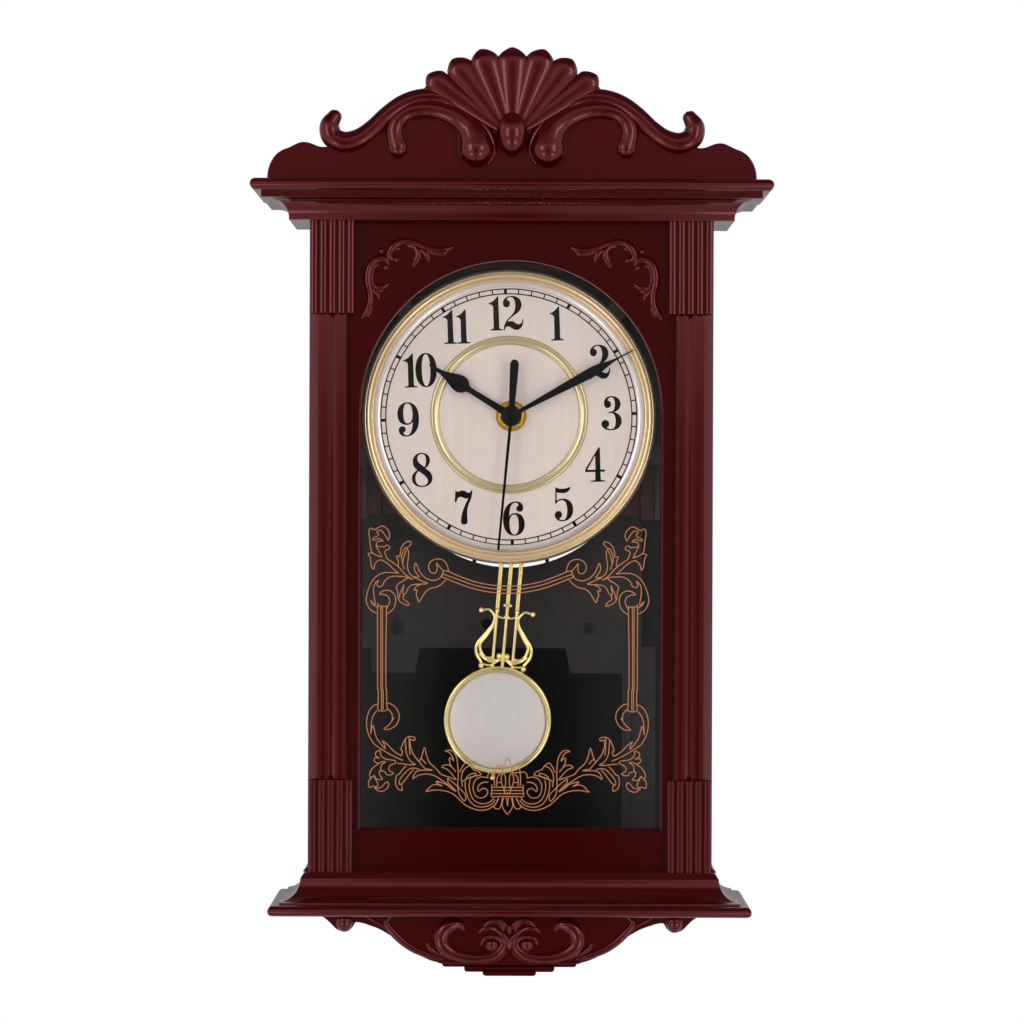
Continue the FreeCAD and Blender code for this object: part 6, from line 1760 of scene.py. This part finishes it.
@dataclass
class Hands:
    """The three hands, cut from sheet with softened edges."""

    axis: float = -95.0
    sheet: float = 0.4
    dome: float = 0.05
    chamfer: float = 0.3
    hour_length: float = 1.04
    hour_angle: float = 301.8
    minute_angle: float = 61.5
    second_angle: float = 185.3
    tail_angle: float = 3.5
    depths: Place = (-38.0, -40.2, -42.0)
    hubs: Place = (5.5, 5.0, 3.6)

    CAP = "0 -43.4 1.3 -43.35 1.9 -43.1 2.2 -42.6 2.6 -42.4 4.4 -42.25 5 -42 5.1 -41.6 0 -41.6"

    TAIL = "0 1.35 10 1.75 20 2.15 26.8 2.35 28.4 2.1 29.4 1.4 29.8 0.5"

    NEEDLE = "0 0.85 40 0.68 71.7 0.62"

    MINUTE = "-2 1.1 6 1.1 18 1.5 30 2 42 2.5 50 2.75 53 2.4 57 1.55 61 0.85 64 0.5 73.4 0.25"

    HOUR = (
        "-2 2.1 6 1.9 16 1.6 24.5 1.5 26 1.75 26.8 2.6 27.8 3.7 29.3 4.45 31 4.65 33 4.35 35.5 "
        "3.35 38.5 2.2 42 1.25 45.5 0.85 47.5 0.9 48.6 0.75 49.3 0.35")

    def blade(self, outline: list[Point], depth: float, angle: float, hub: float) -> Mesh:
        """Cuts a hand pointing to twelve and turns it to its angle.

        Args:
            outline: (distance from the axis, half width) points of one side.
            depth: Depth of its front face.
            angle: Angle clockwise from twelve.
            hub: Radius of its hub.

        Returns:
            The hand's mesh.
        """
        draft = Draft()
        right = [(w, a) for a, w in outline]
        left = [(-w, a) for a, w in reversed(outline)]
        draft.prism(right + left, depth, depth + self.sheet)
        front, back = depth - self.dome, depth + self.sheet
        draft.turned([(0, front), (hub - self.chamfer, front), (hub, depth + self.chamfer / 2),
                      (hub, back), (0, back)], 0, 0, 48, False)
        mesh = draft.mesh("hand")
        round_over(mesh, 0.12)
        mesh.transform(Matrix.Translation((0, 0, self.axis * MM))
                       @ Matrix.Rotation(radians(angle), 4, "Y"))
        return mesh

    def build(self, shop: Workshop) -> None:
        """Builds the hour, minute and seconds hands."""
        hour = [(along * self.hour_length, half) for along, half in rows(self.HOUR)]
        shop.piece(self.blade(hour, self.depths[0], self.hour_angle, self.hubs[0]),
                   "hour_hand_cut", "hand black", Body.HOUR, Slot.HAND, ("hour_hand",))
        shop.piece(self.blade(rows(self.MINUTE), self.depths[1], self.minute_angle, self.hubs[1]),
                   "minute_hand_cut", "hand black", Body.CENTRE, Slot.HAND, ("minute_hand",))
        front = self.blade(rows(self.NEEDLE), self.depths[2], self.second_angle, self.hubs[2])
        back = self.blade(rows(self.TAIL), self.depths[2], self.tail_angle, self.hubs[2])
        cap = Draft()
        cap.turned(rows(self.CAP), 0, self.axis, 64, False)
        shop.piece(joined("second", [front, back, cap.mesh("cap")]), "second_hand_cut",
                   "hand black", Body.SECONDS, Slot.HAND, ("second_hand",))


@dataclass
class Pendulum:
    """The stamped gilt pendulum with its lyre and silvered bob."""

    pivot: float = -165.0
    swing: float = 4.88
    line_out: float = 1.1
    rod_depth: float = -29.2
    rod_thick: float = 1.4
    rod_top: float = 7.4
    plate_step: float = 0.4
    lyre_depth: float = -30.2
    lyre_size: Point = (14.9, 30.0)
    lyre_top: float = 33.5
    lyre_bold: float = 1.35
    bob_drop: float = 92.4
    disc_radius: float = 26.05
    disc_dome: float = 2.6
    disc_edge: float = -28.0
    disc_back: float = -26.9

    RAILS: tuple[tuple[str, str], ...] = (
        ("0.84 0.03 0.65 0.013 0.503 0.077 0.43 0.157 0.463 0.263 0.617 0.383 0.779 0.497 "
         "0.933 0.6 1 0.71 0.953 0.83 0.812 0.927 0.75 0.99", "0.5 0.5 0.55 0.62 0.66 0.62 0.6"),
        ("0.46 0.3 0.664 0.483 0.819 0.593 0.859 0.673 0.819 0.763 0.698 0.843 0.577 0.873 "
         "0.43 0.863", "0.5 0.6 0.62 0.6 0.5"),
        ("0.859 0.813 0.651 0.873 0.443 0.91 0.275 0.913 0.12 0.88", "0.35 0.9 1 0.8 0.4"),
        ("0.32 0.11 0.15 0.147 0.05 0.11 0.02 0", "0.35 0.4 0.35"),
        ("0.74 0.98 0.55 1 0.38 0.99 0.22 0.93 0.03 0.88", "0.35 0.45 0.35"),
    )
    RODS = "-5.35 36 0 34 5.35 36"
    PLATE = "-6.6 7.6 6.6 7.6 6.6 1.4 6 1 -6 1 -6.6 1.4"
    BALLS = "13.9 34.6 1.65 11.4 64 1.65 1.47 31 1 5.4 63.4 1 5.35 34.2 1.35"

    RING = (
        "26.1 -29.6 26.3 -30.3 26.6 -30.6 27 -30.7 27.3 -31.1 27.8 -31.4 28.3 -31.3 28.65 -30.9 "
        "28.85 -30.2 28.85 -26.8 26.1 -26.8")

    ROD = (
        "-1.15 0 -1.15 -0.9 -0.95 -1.25 -0.6 -1.4 -0.25 -1.25 0 -0.85 0.25 -1.25 0.6 -1.4 0.95 "
        "-1.25 1.15 -0.9 1.15 0")

    def hang(self, shop: Workshop, mesh: Mesh, name: str, node: str,
             finish: str = "polished brass", slot: Slot = Slot.BRASS) -> None:
        """Swings a mesh made plumb to the pose it is kept in, and places it.

        Args:
            shop: The workshop.
            mesh: The mesh.
            name: The piece's name.
            node: The CAD node that it stands for.
            finish: The name of its finish.
            slot: The record's slot, handed on with the piece.
        """
        pivot = Vector((0, 0, self.pivot * MM))
        mesh.transform(Matrix.Translation(pivot) @ Matrix.Rotation(radians(self.swing), 4, "Y")
                       @ Matrix.Translation(-pivot))
        shop.piece(mesh, name, finish, Body.PENDULUM, slot, (node,), 50.0)

    def at(self, x: float, down: float) -> Point:
        """A place beside the rods' line and below the pivot."""
        return self.line_out + x, self.pivot - down

    def rail(self, shares: str, widths: str) -> Stem:
        """A rail of the lyre from shares of its reach and height, and half widths."""
        across, along = self.lyre_size
        points = [self.at(a * across, self.lyre_top + b * along) for a, b in rows(shares)]
        return stem(points, [float(w) * self.lyre_bold for w in widths.split()], self.lyre_depth,
                    0.75)

    def lyre(self, shop: Workshop) -> None:
        """Builds the openwork lyre from rounded rails and balls."""
        half = [self.rail(*rail) for rail in self.RAILS]
        twins = [Stem([(2 * self.line_out - x, z, w) for x, z, w in one.path], one.depth, one.rise)
                 for one in half]
        meshes = [shop.stems(half + twins, "polished brass", 0.4, 12)]
        bars = Draft()
        for side in (-1, 1):
            for x, down, r in rows(self.BALLS, 3):
                px, pz = self.at(side * x, down)
                bars.ball((px, self.lyre_depth, pz), (r, r * 0.9, r), 20)
            px, pz = self.at(side * 2.05, 58.2)
            bars.ball((px, self.lyre_depth - 0.4, pz), (1.6, 1.6, 1.75), 24)
            self.bar(bars, side * 5.35, 0.95, 33.6, 60.0, 1.0)
        self.bar(bars, 0.0, 0.95, 31.6, 58.6, 1.0)
        self.bar(bars, 0.0, 1.0, 56.0, 64.4, 0.9)
        meshes.append(bars.mesh("lyre bars"))
        self.hang(shop, joined("lyre", meshes), "lyre_gilt", "lyre")

    def bar(self, draft: Draft, x: float, half: float, top: float, bottom: float,
            thick: float) -> None:
        """Adds an upright bar of the lyre with a rounded front.

        Args:
            draft: The mesh in the making.
            x: Place beside the rods' line.
            half: Half its width.
            top: Its upper end below the pivot.
            bottom: Its lower end below the pivot.
            thick: How far its front stands out.
        """
        depth = self.lyre_depth
        px, _ = self.at(x, 0)
        outline = [(px + half * cos(pi * i / 8),
                    depth - thick * sin(pi * i / 8)) for i in range(9)]
        outline += [(px - half, depth + 0.6), (px + half, depth + 0.6)]
        draft.column(outline, self.pivot - bottom, self.pivot - top)

    def rods(self, shop: Workshop) -> None:
        """Builds the three grooved rods and the plate they hang from."""
        bars = Draft()
        back = self.rod_depth + self.rod_thick
        for x, end in rows(self.RODS):
            px, _ = self.at(x, 0)
            bars.column([(px + dx, back + dy) for dx, dy in rows(self.ROD)], self.pivot - end,
                        self.pivot - self.rod_top)
        bars.prism([self.at(x, down) for x, down in rows(self.PLATE)],
                   self.rod_depth + self.plate_step, back)
        self.hang(shop, bars.mesh("rods"), "pendulum_rods_gilt", "pendulum_rods")

    def bob(self, shop: Workshop) -> None:
        """Builds the ring with its rating knob and the domed disc."""
        x, z = self.at(0, self.bob_drop)
        ring = Draft()
        ring.turned(rows(self.RING), x, z, 200)
        ring.ball((x, -29.0, z - 31.0), (1.7, 1.6, 1.7), 24)
        ring.column([(x + 0.8 * cos(a * pi / 6), -29.0 + 0.8 * sin(a * pi / 6))
                     for a in range(12)], z - 30.6, z - 28.2)
        self.hang(shop, ring.mesh("ring"), "bob_ring_gilt", "bob_ring")
        disc = Draft()
        section = [(self.disc_radius * sin(i / 14 * pi / 2),
                    self.disc_edge - self.disc_dome * cos(i / 14 * pi / 2))
                   for i in range(15)]
        disc.turned(section + [(self.disc_radius, self.disc_back), (0.0, self.disc_back)], x, z,
                    160, False)
        self.hang(shop, disc.mesh("disc"), "bob_disc_domed", "bob_disc", "satin silver",
                  Slot.SILVER)

    def build(self, shop: Workshop) -> None:
        """Builds the pendulum from the top down."""
        self.rods(shop)
        self.lyre(shop)
        self.bob(shop)
        shop.dress("pendulum_lever", "black movement plastic")
        shop.dress("lever_magnet", "magnet metal")


@dataclass
class Works:
    """The CAD nodes inside and behind the clock that keep their shape."""

    cover_top: float = -17.5
    cover_gap: float = 0.3

    FINISHES = {
        "black movement plastic": "movement_front_case movement_back_case setting_knob",
        "gear plastic": "hour_wheel minute_wheel centre_wheel third_wheel seconds_wheel "
                        "intermediate_wheel",
        "zinc steel": "movement_screws stator quartz_crystal battery_contact_plus "
                      "battery_contact_minus pivot_pin back_screws hanger_plate hanger_screws",
        "magnet metal": "rotor",
        "wound copper": "motor_coil drive_coil",
        "board green": "circuit_board",
        "battery wrap": "battery",
        "dark backing plate": "inner_plate",
        "black screw steel": "plate_screws",
    }

    def build(self, shop: Workshop) -> None:
        """Dresses each node."""
        for finish, nodes in self.FINISHES.items():
            for node in nodes.split():
                shop.dress(node, finish)
        cover = shop.softened("back_cover", 0.25, 2)
        for vert in cover.vertices:
            if vert.co.z > self.cover_top * MM:
                vert.co.z += self.cover_gap * MM
        shop.piece(cover, "back_cover_fitted", "black back board", Body.CLOCK, Slot.BLACK,
                   ("back_cover",), 12.0)


@dataclass
class Studio:
    """Camera, lamps and surroundings."""

    stand_off: float = 1.730
    eye: float = -0.145
    aside: float = 0.0006
    lens: float = 112.0
    roll: float = 0.198
    front: float = 0.27
    sides: float = 0.36
    room: float = 0.6
    floor: float = 0.42
    rear: float = 0.06
    fill: float = 0.3
    clip: Point = (0.05, 60.0)
    middle: Place = (0.0, -0.05, -0.15)
    top_dim: float = 0.1

    BEHIND = (0.2, 0.75)
    ABOVE = (0.02, 0.09)
    ASIDE = (0.02, 0.06)
    WIDE = (0.15, 0.32)
    BELOW = (-0.35, -0.7)
    OVERHEAD = (0.4, 0.7)
    PANES_SEEN_THROUGH = 3.5

    def camera(self) -> None:
        """Sets the camera at the photograph's viewpoint."""
        data = bpy.data.cameras.new("viewpoint")
        data.sensor_width, data.lens = 36.0, self.lens
        data.shift_y = -2 / 1024
        data.clip_start, data.clip_end = self.clip
        thing = placed("viewpoint", data)
        thing.location = (self.aside, -self.stand_off, self.eye)
        thing.rotation_euler = (Euler((radians(90), 0, 0)).to_matrix()
                                @ Matrix.Rotation(radians(self.roll), 3, "Z")).to_euler()
        bpy.context.scene.camera = thing

    def lamp(self, name: str, place: Place, size: Point, power: float,
             mirrored: bool = True) -> None:
        """Adds a soft box that points at the middle of the clock.

        Args:
            name: Its name.
            place: Where it stands, in metres.
            size: Width and height in metres.
            power: Watts.
            mirrored: Whether glossy surfaces show it.
        """
        data = bpy.data.lights.new(name, "AREA")
        data.shape, data.size, data.size_y, data.energy = "RECTANGLE", size[0], size[1], power
        thing = placed(name, data)
        thing.location = place
        thing.visible_glossy = mirrored
        thing.rotation_euler = (Vector(self.middle) - Vector(place)).to_track_quat(
            "-Z", "Y").to_euler()

    def world(self) -> None:
        """White to the eye and through glass, and a plain level on the object."""
        world = bpy.data.worlds.new("studio")
        bpy.context.scene.world = world
        world.use_nodes = True
        graph = Graph(world.node_tree)
        path = graph.add("ShaderNodeLightPath").outputs
        way = graph.add("ShaderNodeTexCoord").outputs["Generated"]
        parts = graph.add("ShaderNodeSeparateXYZ", {0: way}).outputs
        near = graph.maths("LESS_THAN", path["Ray Depth"], self.PANES_SEEN_THROUGH)
        through = graph.maths("MULTIPLY", path["Is Transmission Ray"], near)
        seen = graph.maths("MAXIMUM", path["Is Camera Ray"], through)
        mirrored = graph.maths("MULTIPLY", path["Is Glossy Ray"],
                               graph.spread(parts["Y"], *self.BEHIND))
        white = graph.maths("MAXIMUM", seen, graph.maths("MULTIPLY", mirrored, self.rear))
        beside = graph.maths("ABSOLUTE", parts["X"])
        above = graph.spread(parts["Z"], *self.ABOVE, 0.0, self.front)
        aside = graph.spread(beside, *self.ASIDE, 0.0, self.sides)
        wide = graph.spread(graph.maths("MAXIMUM", beside, parts["Z"]), *self.WIDE, 0.0, self.room)
        below = graph.spread(parts["Z"], *self.BELOW, 0.0, self.floor)
        level = graph.maths("ADD", graph.maths("MAXIMUM", above, aside),
                            graph.maths("MAXIMUM", wide, below))
        dimmed = graph.spread(parts["Z"], *self.OVERHEAD, 1.0, self.top_dim)
        share = graph.spread(path["Is Glossy Ray"], 0.0, 1.0, self.fill, 1.0)
        level = graph.maths("MULTIPLY", graph.maths("MULTIPLY", level, dimmed), share)
        soft = graph.out("ShaderNodeBackground",
                         {"Color": linear((255, 250, 248)), "Strength": level})
        bright = graph.out("ShaderNodeBackground",
                           {"Color": linear((255, 255, 255)), "Strength": 1.0})
        mix = graph.out("ShaderNodeMixShader", {0: white, 1: soft, 2: bright})
        graph.add("ShaderNodeOutputWorld", {"Surface": mix})

    def build(self) -> None:
        """Sets up the whole studio."""
        self.camera()
        self.world()
        self.lamp("top box", (0.0, -0.75, 1.15), (1.6, 0.9), 2.2, False)
        for side in (-1, 1):
            self.lamp("side box", (side * 1.0, -1.5, 0.25), (0.5, 0.9), 3.9)
            self.lamp("low box", (side * 0.75, -1.35, -0.95), (0.45, 0.45), 1.7)
        bpy.context.scene.view_settings.view_transform = "Standard"


def main() -> None:
    """Builds the studio and every sub-assembly in order."""
    logging.basicConfig(level=logging.INFO, format="%(name)s %(message)s")
    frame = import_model()
    shop = Workshop(frame)
    Studio().build()
    for part in (Case(), Crest(), Apron(), CornerScrolls(), Window(), Dial(), Hands(), Pendulum(),
                 Works()):
        log.info("building %s", type(part).__name__)
        part.build(shop)


if __name__ == "__main__":
    main()
